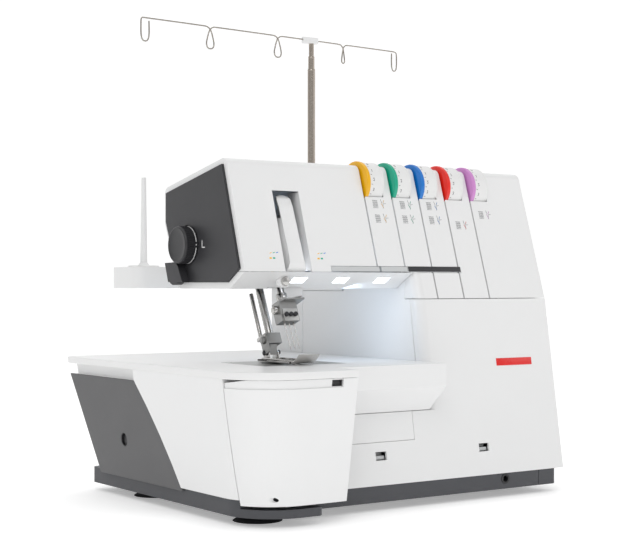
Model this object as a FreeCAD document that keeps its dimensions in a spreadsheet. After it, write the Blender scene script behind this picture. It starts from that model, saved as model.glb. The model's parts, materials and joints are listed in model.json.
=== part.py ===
"""Serger overlock machine with a telescopic thread stand, as a parametric FreeCAD document.

Millimetres, +Z up. X runs from the bed's free end (negative) to the handwheel (positive) and
Y from the user's side (negative) to the back. The origin is under the middle of the machine,
on the table. Every driving size is one cell of the sheet; each piece is bound to those cells.
"""
import math
import os
import re

import FreeCAD
import Part
import Sketcher

SIZES = {
    # overall outline
    "bed_left": -224.0, "bed_front": -192.0, "bed_back": 192.0, "bed_top": 143.0,
    "tower_left": 28.5, "tower_right": 205.0, "head_left": -174.5, "wall": 2.5,
    "far": 200.0, "seam": 0.3, "fit_gap": 0.05, "run_gap": 0.4,
    # base and feet
    "base_bottom": 8.5, "cover_bottom": 25.0, "base_left": -205.0, "base_front": -169.5,
    "base_step_x": -131.0, "base_step_y": -137.0, "base_right": 196.0, "base_back": 160.0,
    "base_corner": 49.5, "rebate": 16.5, "base_seam_x": 169.5, "foot_radius": 24.0, "foot_disc": 3.0,
    "foot_neck": 8.0, "foot_left": -168.0, "foot_right": 150.0, "foot_front": -113.0,
    "foot_front_right": -58.0, "foot_rear": 84.0, "foot_rear_right": 120.0,
    "socket_x": 122.5, "socket_z": 19.0, "socket_radius": 5.6, "socket_bore": 3.2,
    # bed
    "plate_thick": 7.0, "plate_corner": 14.0, "side_bottom": -208.5, "side_back_top": 180.0,
    "side_back_low": 132.0, "side_front_top": 33.0, "side_front_low": -42.0, "step_top": 125.0,
    "step_inset": 9.0, "side_hole_y": 69.0, "side_hole_z": 62.5, "side_hole_radius": 6.5,
    "panel_thick": 3.0, "wing_end": -141.0, "housing_back": 165.0,
    # looper cover
    "cover_right": -107.5, "cover_front_low": -172.0, "cover_low": 20.0, "cover_corner": 52.0,
    "cover_top": 135.6, "form_end": -100.0, "wing_gap": 1.2, "groove_low": 127.5, "groove_deep": 1.4,
    "groove_end": -124.0, "latch_width": 12.0, "latch_height": 6.0,
    "pin_y": -165.5, "pin_z": 26.5, "pin_radius": 2.2, "eye_radius": 4.3, "corner_drop": 3.3,
    "shoe_start": 9.5, "shoe_end": 13.5,
    # ledge and lower front
    "ledge_front": -154.0, "ledge_low": 120.0, "ledge_foot_z": 95.0,
    "front_foot": -138.0, "lower_lean": 0.156, "seam_z": 206.0, "cover_depth": 14.0,
    "corner_round": 10.0, "clip_z": 53.0, "clip_wide": 13.5, "clip_high": 8.4, "clip_left": -37.5,
    "clip_right": 96.0, "access_right": 6.0, "access_low": 66.5,
    # head
    "upper_lean": 0.31, "lip_z": 233.5, "head_top": 345.0, "head_back": 54.5,
    "back_top": 320.0, "back_mid": 284.0, "belly": 217.0, "belly_back": 26.0,
    "belly_front": -74.0, "split_y": 44.0, "split_z": 282.0, "split_front": -60.0,
    "top_round": 9.0, "back_round": 7.0, "low_back": 164.0, "low_top": 216.7,
    "cap_face": -177.0, "cap_back": -167.0, "cap_inset": 6.5, "rear_side": 100.0,
    "trim_top": 239.5, "trim_low": 234.0, "trim_left": -73.5, "trim_mid": -13.8,
    "trim_right": 22.0, "trim_end": 93.0, "trim_deep": 6.0, "trim_skin": 1.0,
    "lamp_first": -106.0, "lamp_pitch": 51.0, "lamp_wide": 16.0, "lamp_y": -92.0,
    # take-up
    "slot_left": -128.0, "slot_right": -97.0, "slot_low": 239.0, "slot_high": 313.0,
    "take_up_left": -121.0, "take_up_right": -99.0, "take_up_pin_y": -66.0,
    "take_up_pin_z": 262.0, "take_up_thick": 2.0,
    # thread slots and tension dials
    "thread_first": -16.0, "thread_pitch": 35.4, "thread_gap": 1.8, "thread_back": -40.0,
    "dial_y": -57.7, "dial_z": 324.7, "dial_radius": 23.5, "dial_wide": 22.6,
    "dial_bore": 3.0, "rail_left": -30.0, "rail_right": 166.0,
    # needle and presser bars, in the frame that leans with them
    "bar_x": -108.7, "bar_y": -68.1, "bar_z": 200.7, "bar_lean": 23.0, "needle_bar_radius": 3.6,
    "needle_bar_low": -6.0, "needle_bar_high": 100.0, "needle_step": 5.3, "needle_long": 42.0,
    "presser_behind": 35.0, "presser_radius": 4.0, "presser_low": -27.0, "presser_high": 108.0,
    "lug_low": 36.0, "lug_high": 84.0, "lug_thick": 10.0, "bush_wall": 2.0,
    "foot_pin_y": -46.0, "foot_pin_z": 153.0, "sole_z": 144.4, "sole_thick": 2.2,
    "sole_left": -121.5, "sole_right": -97.0, "sole_heel": -40.0, "sole_toe": -104.0,
    "toe_tip_y": -113.0, "toe_tip_z": 153.0,
    # needle plate and feed
    "np_left": -150.0, "np_right": -54.0, "np_front": -98.5, "np_back": -16.5, "np_thick": 1.6,
    "feed_front": -82.0, "feed_back": -38.0, "feed_travel": 2.0, "feed_wide": 4.0,
    # frame, shafts and drive
    "frame_floor": 5.0, "frame_wall": 6.0, "frame_left": -165.0, "frame_mid": 36.0,
    "frame_right": 150.0, "frame_front": -100.0, "frame_rear": 90.0, "frame_top": 291.0,
    "beam_y": 28.0, "shaft_y": 10.0, "shaft_z": 100.0, "shaft_radius": 6.0, "shaft_left": -157.0,
    "wheel_face": 224.0, "wheel_radius": 33.0, "wheel_gap": 1.5, "pulley_left": 162.0,
    "pulley_wide": 12.0, "pulley_radius": 28.0, "belt_thick": 1.8, "motor_y": 58.0,
    "motor_z": 66.0, "motor_radius": 29.0, "motor_long": 66.0, "motor_pulley_radius": 9.0,
    "motor_shaft_radius": 3.0,
    # looper drive
    "looper_y": -122.0, "upper_looper_x": -70.0, "lower_looper_x": -146.0, "looper_z": 58.0,
    "looper_radius": 4.0, "looper_thick": 5.0, "knife_x": -30.0, "knife_z": 78.0,
    # controls
    "knob_y": 1.6, "knob_z": 260.5, "knob_radius": 18.8, "knob_face": -190.5,
    "lifter_y": 16.0, "lifter_z": 232.0, "lifter_face": -186.0, "lifter_hub": 11.5,
    "stitch_y": -70.0, "stitch_z": 72.0, "stitch_radius": 17.0, "stitch_face": 212.0,
    "switch_y": 36.0, "switch_z": 50.0, "inlet_y": 70.0, "inlet_z": 50.0,
    # thread stand
    "tray_left": -176.0, "tray_end": 205.0, "tray_front": 115.0, "tray_back": 176.0,
    "tray_low": 217.0, "tray_high": 240.0, "tray_corner": 12.0, "spool_pin_y": 148.0,
    "spool_pin_high": 338.0, "spool_pin_foot": 4.0, "spool_pin_tip": 2.6,
    "pole_x": 68.6, "pole_y": 140.0, "pole_radius": 4.5, "pole_top": 474.0, "pole_wall": 0.7,
    "stage_step": 15.0, "stage_low": 300.0, "guide_z": 508.0, "guide_left": -236.0,
    "guide_right": 136.0, "guide_turn": 4.4, "guide_wire": 0.8, "loop_drop": 25.0,
    "loop_radius": 5.0,
}
SPOOL_PIN_X = (-149.0, -66.0, 17.0, 120.0, 184.0)
GUIDE_LOOPS = (-236.0, -145.0, -50.0, 49.0, 136.0)
NAME = re.compile(r"[A-Za-z_]+[A-Za-z_0-9]*")
TURN_TO = {
    "X": FreeCAD.Rotation(FreeCAD.Vector(0, 1, 0), 90),
    "Y": FreeCAD.Rotation(FreeCAD.Vector(1, 0, 0), -90),
    "Z": FreeCAD.Rotation(),
}
SKETCH_TURN = {
    "X": FreeCAD.Rotation(FreeCAD.Vector(1, 1, 1), 120),
    "Y": FreeCAD.Rotation(FreeCAD.Vector(1, 0, 0), 90),
    "Z": FreeCAD.Rotation(),
}
WAY = {"X": FreeCAD.Vector(1, 0, 0), "Y": FreeCAD.Vector(0, 1, 0), "Z": FreeCAD.Vector(0, 0, 1)}

doc = FreeCAD.newDocument("SergerMachine")
sheet = doc.addObject("Spreadsheet::Sheet", "Sizes")
for row, (alias, size) in enumerate(SIZES.items(), start=1):
    sheet.set(f"A{row}", alias)
    sheet.set(f"B{row}", str(size))
    sheet.setAlias(f"B{row}", alias)
doc.recompute()

nodes = []


# ---------------------------------------------------------------- building blocks
def bound(text):
    """Write an expression of size names as one that reads the sheet."""
    def full(match):
        word = match.group(0)
        return f"Sizes.{word}" if word in SIZES else word
    return NAME.sub(full, str(text))


def number(text):
    """Work out an expression's value now."""
    found = sheet.evalExpression(bound(text))
    return float(getattr(found, "Value", found))


def bind(item, prop, text):
    """Tie one property of a feature to an expression of sizes."""
    item.setExpression(prop, bound(text))


def node(item, label):
    """Keep a finished feature as a named piece of the machine."""
    item.Label = label
    nodes.append(item)
    return item


def box(x, y, z):
    """A box from three (low, high) pairs."""
    item = doc.addObject("Part::Box", "Box")
    for prop, axis, (low, high) in zip(("Length", "Width", "Height"), "xyz", (x, y, z)):
        bind(item, prop, f"({high}) - ({low})")
        bind(item, f"Placement.Base.{axis}", low)
    return item


def cylinder(axis, radius, along, at):
    """A cylinder along an axis, between two places on it, at the other two coordinates."""
    item = doc.addObject("Part::Cylinder", "Cylinder")
    item.Placement = FreeCAD.Placement(FreeCAD.Vector(), TURN_TO[axis])
    bind(item, "Radius", radius)
    bind(item, "Height", f"({along[1]}) - ({along[0]})")
    others = [letter for letter in "XYZ" if letter != axis]
    for letter, place in zip([axis] + others, [along[0]] + list(at)):
        bind(item, f"Placement.Base.{letter.lower()}", place)
    return item


def cone(axis, foot, tip, along, at):
    """A cone along Z between two heights."""
    item = doc.addObject("Part::Cone", "Cone")
    item.Placement = FreeCAD.Placement(FreeCAD.Vector(), TURN_TO[axis])
    bind(item, "Radius1", foot)
    bind(item, "Radius2", tip)
    bind(item, "Height", f"({along[1]}) - ({along[0]})")
    others = [letter for letter in "XYZ" if letter != axis]
    for letter, place in zip([axis] + others, [along[0]] + list(at)):
        bind(item, f"Placement.Base.{letter.lower()}", place)
    return item


def hold_corners(sketch, points, places):
    """Join an outline's ends in turn and bind each corner to its expressions."""
    count = len(places)
    for index in range(count):
        sketch.addConstraint(Sketcher.Constraint("Coincident", index, 2, (index + 1) % count, 1))
    for index, (u, v) in enumerate(points):
        for kind, text, value in (("DistanceX", u, places[index].x), ("DistanceY", v, places[index].y)):
            mark = sketch.addConstraint(Sketcher.Constraint(kind, -1, 1, index, 1, value))
            bind(sketch, f"Constraints[{mark}]", text)


def draw(sketch, points):
    """Draw a closed outline whose corners are bound to expressions."""
    places = [FreeCAD.Vector(number(u), number(v), 0) for u, v in points]
    count = len(places)
    for index in range(count):
        sketch.addGeometry(Part.LineSegment(places[index], places[(index + 1) % count]), False)
    hold_corners(sketch, points, places)


def outline(axis, points, at):
    """A sketch across an axis, at one place on it."""
    sketch = doc.addObject("Sketcher::SketchObject", "Outline")
    sketch.Placement = FreeCAD.Placement(FreeCAD.Vector(), SKETCH_TURN[axis])
    draw(sketch, points)
    bind(sketch, f"Placement.Base.{axis.lower()}", at)
    return sketch


def extrude(base, axis, length):
    """Extrude a flat outline along an axis."""
    item = doc.addObject("Part::Extrusion", "Extrusion")
    item.Base = base
    item.DirMode = "Custom"
    item.Dir = WAY[axis]
    item.Solid = True
    bind(item, "LengthFwd", length)
    return item


def prism(axis, points, along):
    """A straight prism: an outline across an axis, between two places on it."""
    return extrude(outline(axis, points, along[0]), axis, f"({along[1]}) - ({along[0]})")


def core(axis, points, along, inset="wall"):
    """The room inside a prism: its outline drawn in by a wall, between two places."""
    ring = doc.addObject("Part::Offset2D", "Inset")
    ring.Source = outline(axis, points, along[0])
    ring.Join = 2
    bind(ring, "Value", f"-({inset})")
    return extrude(ring, axis, f"({along[1]}) - ({along[0]})")


def loft(lower, upper):
    """A ruled solid between two outlines."""
    item = doc.addObject("Part::Loft", "Loft")
    item.Sections = [lower, upper]
    item.Solid = True
    item.Ruled = True
    return item


def fuse(*items):
    """Join solids into one."""
    item = doc.addObject("Part::MultiFuse", "Fusion")
    item.Shapes = list(items)
    item.Refine = True
    return item


def cut(base, *tools):
    """Take one or more tools out of a solid."""
    item = doc.addObject("Part::Cut", "Cut")
    item.Base = base
    item.Tool = tools[0] if len(tools) == 1 else fuse(*tools)
    item.Refine = True
    return item


def common(base, tool):
    """Keep what two solids share."""
    item = doc.addObject("Part::Common", "Common")
    item.Base = base
    item.Tool = tool
    item.Refine = True
    return item


def group(*items):
    """Several separate solids that share a node."""
    item = doc.addObject("Part::Compound", "Group")
    item.Links = list(items)
    return item


def edges_at(shape, places, reach=0.8):
    """Find edges whose ends all lie at one of the given places, e.g. {"y": -10, "z": 5}."""
    found = []
    for index, edge in enumerate(shape.Edges, start=1):
        for place in places:
            fits = [abs(getattr(corner.Point, axis) - number(text)) < reach
                    for corner in edge.Vertexes for axis, text in place.items()]
            if all(fits) and edge.Length > 1.0:
                found.append(index)
                break
    return found


def rounded(base, radius, *places):
    """Round the edges of a solid that lie at the given places."""
    doc.recompute()
    item = doc.addObject("Part::Fillet", "Fillet")
    item.Base = base
    size = number(radius)
    item.Edges = [(index, size, size) for index in edges_at(base.Shape, places)]
    return item


def peak_rounded(base, radius):
    """Round the highest edge of a solid."""
    doc.recompute()
    return rounded(base, radius, {"z": f"{base.Shape.BoundBox.ZMax:.4f}"})


def placed(items, at, axis, angle):
    """Set solids that were drawn about the origin at a place, turned about an axis."""
    item = group(*items)
    turn = FreeCAD.Rotation(axis, number(angle))
    item.Placement = FreeCAD.Placement(FreeCAD.Vector(*[number(text) for text in at]), turn)
    for letter, text in zip("xyz", at):
        bind(item, f"Placement.Base.{letter}", text)
    bind(item, "Placement.Rotation.Angle", angle)
    return item


def rounded_front(base, radius, x, behind, face):
    """Round the upright edge where a leaning front face meets the plane at one X."""
    doc.recompute()
    item = doc.addObject("Part::Fillet", "Fillet")
    item.Base = base
    size = number(radius)
    edges = [index for index, edge in enumerate(base.Shape.Edges, start=1)
             if edge.Length > 3.0 and all(abs(corner.X - number(x)) < 0.3 and abs(
                 corner.Y - number(face(corner.Z)) - number(behind)) < 0.3 for corner in edge.Vertexes)]
    item.Edges = [(index, size, size) for index in edges]
    return item


def leaned(*items):
    """Stand pieces that were drawn upright on the lean of the needle bar."""
    return placed(items, ("bar_x", "bar_y", "bar_z"), FreeCAD.Vector(-1, 0, 0), "bar_lean")


def swung(*items):
    """Set pieces of the guide wire on the pole, turned a few degrees about it."""
    return placed(items, ("pole_x", "pole_y", "guide_z"), FreeCAD.Vector(0, 0, 1), "guide_turn")


def turned_body(label, points, axis, at, grooves=0, groove_radius="0.8", groove_place="0"):
    """A turned piece: a half outline (radius, height) spun about its axis, then laid along it."""
    body = doc.addObject("PartDesign::Body", "Body")
    body.Label = label
    planes = {feature.Role: feature for feature in body.Origin.OriginFeatures}
    sketch = body.newObject("Sketcher::SketchObject", "HalfOutline")
    sketch.AttachmentSupport = [(planes["XZ_Plane"], "")]
    sketch.MapMode = "FlatFace"
    draw(sketch, points)
    spun = body.newObject("PartDesign::Revolution", "Spun")
    spun.Profile = sketch
    spun.ReferenceAxis = (sketch, ["V_Axis"])
    spun.Angle = 360
    if grooves:
        notch = body.newObject("Sketcher::SketchObject", "Grip")
        notch.AttachmentSupport = [(planes["XY_Plane"], "")]
        notch.MapMode = "FlatFace"
        place = FreeCAD.Vector(number(groove_place), 0, 0)
        notch.addGeometry(Part.Circle(place, FreeCAD.Vector(0, 0, 1), number(groove_radius)), False)
        notch.addConstraint(Sketcher.Constraint("PointOnObject", 0, 3, -1))
        mark = notch.addConstraint(Sketcher.Constraint("DistanceX", -1, 1, 0, 3, place.x))
        bind(notch, f"Constraints[{mark}]", groove_place)
        mark = notch.addConstraint(Sketcher.Constraint("Radius", 0, number(groove_radius)))
        bind(notch, f"Constraints[{mark}]", groove_radius)
        pocket = body.newObject("PartDesign::Pocket", "GripCut")
        pocket.Profile = notch
        pocket.Type = 1
        pocket.Midplane = True
        pattern = body.newObject("PartDesign::PolarPattern", "GripRing")
        pattern.Originals = [pocket]
        pattern.Axis = (notch, ["N_Axis"])
        pattern.Angle = 360
        pattern.Occurrences = grooves
        body.Tip = pattern
    body.Placement = FreeCAD.Placement(FreeCAD.Vector(), TURN_TO[axis])
    for letter, place in zip("xyz", at):
        bind(body, f"Placement.Base.{letter}", place)
    nodes.append(body)
    return body


# ---------------------------------------------------------------- shared surfaces
def lower_front(height):
    """Y of the lower front face, which leans back a little, at a height."""
    return f"(front_foot + lower_lean * (({height}) - cover_bottom))"


def upper_front(height):
    """Y of the upper front face, which leans back more, at a height."""
    return f"({lower_front('seam_z')} + upper_lean * (({height}) - seam_z))"


def side_face(height):
    """X of the bed's leaning left side at a height."""
    return (f"(side_bottom + (bed_left - side_bottom) * (({height}) - cover_low)"
            f" / (bed_top - cover_low))")


def cover_face(height):
    """Y of the looper cover's leaning front at a height."""
    return (f"(cover_front_low + (bed_front - cover_front_low) * (({height}) - cover_low)"
            f" / (bed_top - cover_low))")


def front_strip(span, low, high, start, deep):
    """A bar that follows the upper front face, between two heights and two depths."""
    return prism("X", ((f"{upper_front(low)} + ({start})", low), (f"{upper_front(high)} + ({start})", high),
                       (f"{upper_front(high)} + ({deep})", high),
                       (f"{upper_front(low)} + ({deep})", low)), span)


def thread_slot(index):
    """X of the middle of one thread slot."""
    return f"(thread_first + thread_pitch * {index})"


HEAD_OUTLINE = (
    (upper_front("lip_z"), "lip_z"), (upper_front("head_top"), "head_top"),
    ("head_back", "back_top"), ("head_back", "back_mid"), ("belly_back", "belly"),
    ("belly_front", "belly"))


# ---------------------------------------------------------------- base
def make_base():
    """Base tray, feet and the socket for the knee lever."""
    plan = (("base_left", "base_back"), ("base_left", "base_front"),
            ("base_step_x", "base_front"), ("base_step_x", "base_step_y"),
            ("base_right", "base_step_y"), ("base_right", "base_back"))
    block = rounded(prism("Z", plan, ("base_bottom", "cover_bottom")), "base_corner",
                    {"x": "base_left", "y": "base_front"})
    block = rounded(block, "6", {"x": "base_step_x", "y": "base_front"},
                    {"x": "base_right", "y": "base_step_y"}, {"x": "base_right", "y": "base_back"},
                    {"x": "base_left", "y": "base_back"})
    room = box(("base_left + 34", "base_right - 6"), ("base_step_y + 8", "base_back - 6"),
               ("base_bottom + 3", "cover_bottom + 1"))
    seam_cut = box(("base_seam_x", "base_seam_x + 0.6"), ("base_step_y - 1", "base_step_y + 0.8"),
                   ("base_bottom - 1", "cover_bottom + 1"))
    bore = cylinder("Y", "socket_radius + fit_gap", ("base_step_y - 1", "base_step_y + 9"),
                    ("socket_x", "socket_z"))
    rebates = [box(("base_left - 1", "cover_right - 42"), ("base_front - 1", "wing_end + 4"),
                   ("rebate", "cover_bottom + 1")),
               box(("cover_right - 43", "cover_right + 12"), ("base_front - 1", "pin_y + shoe_end + 2"),
                   ("rebate", "cover_bottom + 1"))]
    node(cut(block, room, seam_cut, bore, *rebates), "base_tray")

    ring = cylinder("Y", "socket_radius", ("base_step_y - 0.6", "base_step_y + 8"),
                    ("socket_x", "socket_z"))
    hollow = cylinder("Y", "socket_bore", ("base_step_y - 2", "base_step_y + 6"),
                      ("socket_x", "socket_z"))
    node(cut(ring, hollow), "knee_lever_socket")

    feet = []
    for x, y in (("foot_left", "foot_front"), ("foot_left", "foot_rear"),
                 ("foot_right", "foot_front_right"), ("foot_right", "foot_rear_right")):
        disc = cone("Z", "foot_radius", "foot_radius - 5", ("0", "foot_disc"), (x, y))
        neck = cylinder("Z", "foot_neck", ("foot_disc - 1", "base_bottom"), (x, y))
        feet.append(fuse(disc, neck))
    node(group(*feet), "suction_feet")


def make_frame():
    """Cast frame: floor, uprights, head beam and the lugs that guide both bars."""
    floor_top = "cover_bottom + frame_floor"
    floor = box(("frame_left - 12", "base_right - 16"), ("frame_front", "frame_rear + 34"),
                ("cover_bottom", floor_top))
    front = box(("frame_left", "frame_mid + frame_wall"), ("frame_front", "frame_front + frame_wall"),
                (floor_top, "bed_top - 14"))
    left = box(("frame_left", "frame_left + frame_wall"), ("frame_front", "frame_rear"),
               (floor_top, "bed_top - plate_thick"))
    uprights = []
    for x in ("frame_mid", "frame_right"):
        uprights.append(box((x, f"{x} + frame_wall"), ("frame_front + 12", "frame_rear"),
                            (floor_top, "low_top - 10")))
        uprights.append(box((x, f"{x} + frame_wall"), ("split_front - 4", "beam_y - 8"),
                            ("low_top - 12", "frame_top")))
        uprights.append(box((x, f"{x} + frame_wall"), ("beam_y - 9", "beam_y + frame_wall"),
                            ("frame_top - 30", "frame_top")))
    front_foot_low = box(("frame_mid", "frame_mid + frame_wall"),
                         ("frame_front", "frame_front + 14"), (floor_top, "bed_top - 14"))
    beam = box(("bar_x + 14", "frame_right"), ("beam_y", "beam_y + frame_wall"),
               ("frame_top - 30", "frame_top"))
    web = box(("bar_x + 14", "bar_x + 20"), ("bar_y + 4", "beam_y + frame_wall"),
              ("bar_z + 52", "frame_top"))
    lugs = []
    for low in ("lug_low", "lug_high"):
        block = box(("-12", "16"), ("-9", "presser_behind + 9"), (low, f"{low} + lug_thick"))
        holes = fuse(cylinder("Z", "needle_bar_radius + bush_wall",
                              (f"{low} - 1", f"{low} + lug_thick + 1"),
                              ("0", "0")),
                     cylinder("Z", "presser_radius + bush_wall", (f"{low} - 1", f"{low} + lug_thick + 1"),
                              ("0", "presser_behind")))
        lugs.append(leaned(cut(block, holes)))
    take_up_pin = cylinder("X", "2.5", ("slot_left + 1", "bar_x + 15"), ("take_up_pin_y", "take_up_pin_z"))
    solid = fuse(floor, front, left, *uprights, front_foot_low, beam, web, *lugs, take_up_pin)
    shaft_holes = [
        cylinder("X", "shaft_radius + fit_gap", ("frame_left - 1", "frame_right + frame_wall + 1"),
                 ("shaft_y", "shaft_z")),
        cylinder("X", "motor_shaft_radius + 3", ("frame_right - 1", "frame_right + frame_wall + 1"),
                 ("motor_y", "motor_z")),
    ]
    for x, z in (("upper_looper_x", "looper_z"), ("lower_looper_x", "looper_z"), ("knife_x", "knife_z")):
        shaft_holes.append(cylinder("Y", "looper_radius + fit_gap",
                                    ("frame_front - 1", "frame_front + frame_wall + 1"), (x, z)))
    node(cut(solid, *shaft_holes), "machine_frame")


# ---------------------------------------------------------------- bed
def make_bed():
    """Cloth plate, bed housing with its recessed step, dark side panel and needle plate."""
    plan = (("bed_left", "bed_back"), ("bed_left", "bed_front"), ("cover_right", "bed_front"),
            ("cover_right", "ledge_front + wall + seam"),
            ("tower_left - seam", "ledge_front + wall + seam"),
            ("tower_left - seam", "bed_back"))
    plate = rounded(prism("Z", plan, ("bed_top - plate_thick", "bed_top")), "plate_corner",
                    {"x": "bed_left", "y": "bed_back"})
    plate = rounded(plate, "cover_corner", {"x": "bed_left", "y": "bed_front"})
    recess = box(("np_left - seam", "np_right + seam"), ("np_front - seam", "np_back + seam"),
                 ("bed_top - np_thick", "bed_top + 1"))
    well = box(("np_left + 8", "np_right - 8"), ("np_front + 0.5", "np_back - 8"),
               ("bed_top - plate_thick - 1", "bed_top"))
    node(cut(plate, recess, well), "cloth_plate")

    blank = box(("np_left", "np_right"), ("np_front", "np_back"), ("bed_top - np_thick", "bed_top"))
    needle_slot = box(("bar_x - needle_step - 2.5", "bar_x + needle_step + 2.5"),
                      ("np_front + 2.5", "np_front + 14"), ("bed_top - 5", "bed_top + 1"))
    windows = [needle_slot]
    for offset in ("-9", "-1", "7"):
        windows.append(box((f"bar_x + {offset} - seam", f"bar_x + {offset} + feed_wide + seam"),
                           ("feed_front - feed_travel - 1", "feed_back + feed_travel + 1"),
                           ("bed_top - 5", "bed_top + 1")))
    node(cut(blank, *windows), "needle_plate")

    rows = [box((f"bar_x + {offset}", f"bar_x + {offset} + feed_wide"), ("feed_front", "feed_back"),
                ("bed_top - 10", "bed_top + 0.3")) for offset in ("-9", "-1", "7")]
    carrier = box(("bar_x - 9", "bar_x + 11"), ("feed_front + 4", "feed_back - 4"),
                  ("bed_top - 16", "bed_top - 9"))
    node(fuse(*rows, carrier), "feed_dogs")

    top = "bed_top - plate_thick"
    low = "cover_bottom"
    side_low = outline("Z", ((side_face(low), "side_front_low"), (side_face(low), "side_back_low"),
                             ("tower_left - seam", "side_back_low"),
                             ("tower_left - seam", "side_front_low")), low)
    side_top = outline("Z", ((side_face(top), "form_end"), (side_face(top), "housing_back + 13"),
                             ("tower_left - seam", "housing_back + 13"),
                             ("tower_left - seam", "form_end")), top)
    block = loft(side_low, side_top)
    front_block = common(cover_block("0", low, top),
                         box(("bed_left - 5", "frame_left - 14"), ("wing_end + wing_gap", "form_end + 1"),
                             (low, top)))
    corners = []
    for height in (low, top):
        corners.append(outline("Z",
                               ((side_face(height), "form_end - 1"),
                                (side_face(height), "side_front_low + 1"),
                                     ("frame_left - 14", "side_front_low + 1"),
                                     ("frame_left - 14", "form_end - 1")), height))
    front_block = fuse(front_block, loft(*corners))
    whole = fuse(block, front_block)
    hollow_low = outline("Z", ((f"{side_face(low)} + 6", "wing_end - 5"),
                               (f"{side_face(low)} + 6", "side_back_low - wall"),
                               ("tower_left + 5", "side_back_low - wall"),
                               ("tower_left + 5", "wing_end - 5")), "cover_bottom - 1")
    hollow_top = outline("Z", (("bed_left + 15", "wing_end - 5"),
                               ("bed_left + 15", "housing_back + 13 - wall"),
                               ("tower_left + 5", "housing_back + 13 - wall"),
                               ("tower_left + 5", "wing_end - 5")), "bed_top - plate_thick + 1")
    ledge_cut = box(("bed_left - 5", "bed_left + step_inset"), ("side_front_top", "bed_back + 1"),
                    ("step_top", "bed_top"))
    panel_cut = prism("X", side_outline("seam"), ("bed_left - 5", "bed_left + 60"))
    inner_keep = loft(
        outline("Z", ((f"{side_face(low)} + panel_thick + seam", "-190"),
                      (f"{side_face(low)} + panel_thick + seam", "bed_back + 9"),
                      ("tower_left + 5", "bed_back + 9"), ("tower_left + 5", "-190")), low),
        outline("Z", ((f"{side_face(top)} + panel_thick + seam", "-190"),
                      (f"{side_face(top)} + panel_thick + seam", "bed_back + 9"),
                      ("tower_left + 5", "bed_back + 9"), ("tower_left + 5", "-190")), top))
    node(cut(whole, loft(hollow_low, hollow_top), ledge_cut, cut(panel_cut, inner_keep)), "bed_housing")

    skin = loft(
        outline("Z", ((side_face("cover_low"), "-60"), (side_face("cover_low"), "bed_back"),
                      (f"{side_face('cover_low')} + panel_thick", "bed_back"),
                      (f"{side_face('cover_low')} + panel_thick", "-60")), "cover_low"),
        outline("Z", ((side_face("step_top"), "-60"), (side_face("step_top"), "bed_back"),
                      (f"{side_face('step_top')} + panel_thick", "bed_back"),
                      (f"{side_face('step_top')} + panel_thick", "-60")), "step_top"))
    panel = common(skin, prism("X", side_outline("0"), ("bed_left - 5", "bed_left + 60")))
    hole = cylinder("X", "side_hole_radius", ("bed_left - 5", "bed_left + 40"),
                    ("side_hole_y", "side_hole_z"))
    node(cut(panel, hole), "side_panel")


def side_outline(grow):
    """Outline of the dark side panel: slanted back, swept front; grown by a seam for its cut-out."""
    points = [("side_back_low", f"cover_low + 2 - ({grow})"),
              (f"side_back_top + ({grow})", "step_top"), (f"side_front_top - ({grow})", "step_top")]
    for share, bow in ((0.75, 3.4), (0.5, 4.4), (0.25, 3.2)):
        points.append((f"side_front_low + (side_front_top - side_front_low) * {share} - {bow} - ({grow})",
                       f"cover_low + 2 + (step_top - cover_low - 2) * {share}"))
    points.append((f"side_front_low - ({grow})", f"cover_low + 2 - ({grow})"))
    return points


def corner_plan(left, front, radius, at):
    """A plan of the looper cover at one height, with its left front corner rounded."""
    sketch = doc.addObject("Sketcher::SketchObject", "Plan")
    plan = ((left, "form_end"), (left, f"{front} + {radius}"), (f"{left} + {radius}", front),
            ("cover_right", front), ("cover_right", "form_end"))
    places = [FreeCAD.Vector(number(u), number(v), 0) for u, v in plan]
    size = number(radius)
    ring = Part.Circle(places[2] + FreeCAD.Vector(0, size, 0), FreeCAD.Vector(0, 0, 1), size)
    sketch.addGeometry(Part.LineSegment(places[0], places[1]), False)
    sketch.addGeometry(Part.ArcOfCircle(ring, math.pi, math.pi * 1.5), False)
    for index in (2, 3, 4):
        sketch.addGeometry(Part.LineSegment(places[index], places[(index + 1) % 5]), False)
    hold_corners(sketch, plan, places)
    mark = sketch.addConstraint(Sketcher.Constraint("Radius", 1, size))
    bind(sketch, f"Constraints[{mark}]", radius)
    bind(sketch, "Placement.Base.z", at)
    return sketch


def cover_block(inset, low, high):
    """The looper cover's outer form, drawn in by an inset, between two heights."""
    sections = [corner_plan(f"({side_face(height)} + ({inset}))", f"({cover_face(height)} + ({inset}))",
                            f"(cover_corner - ({inset}))", height) for height in (low, high)]
    return loft(*sections)


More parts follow.
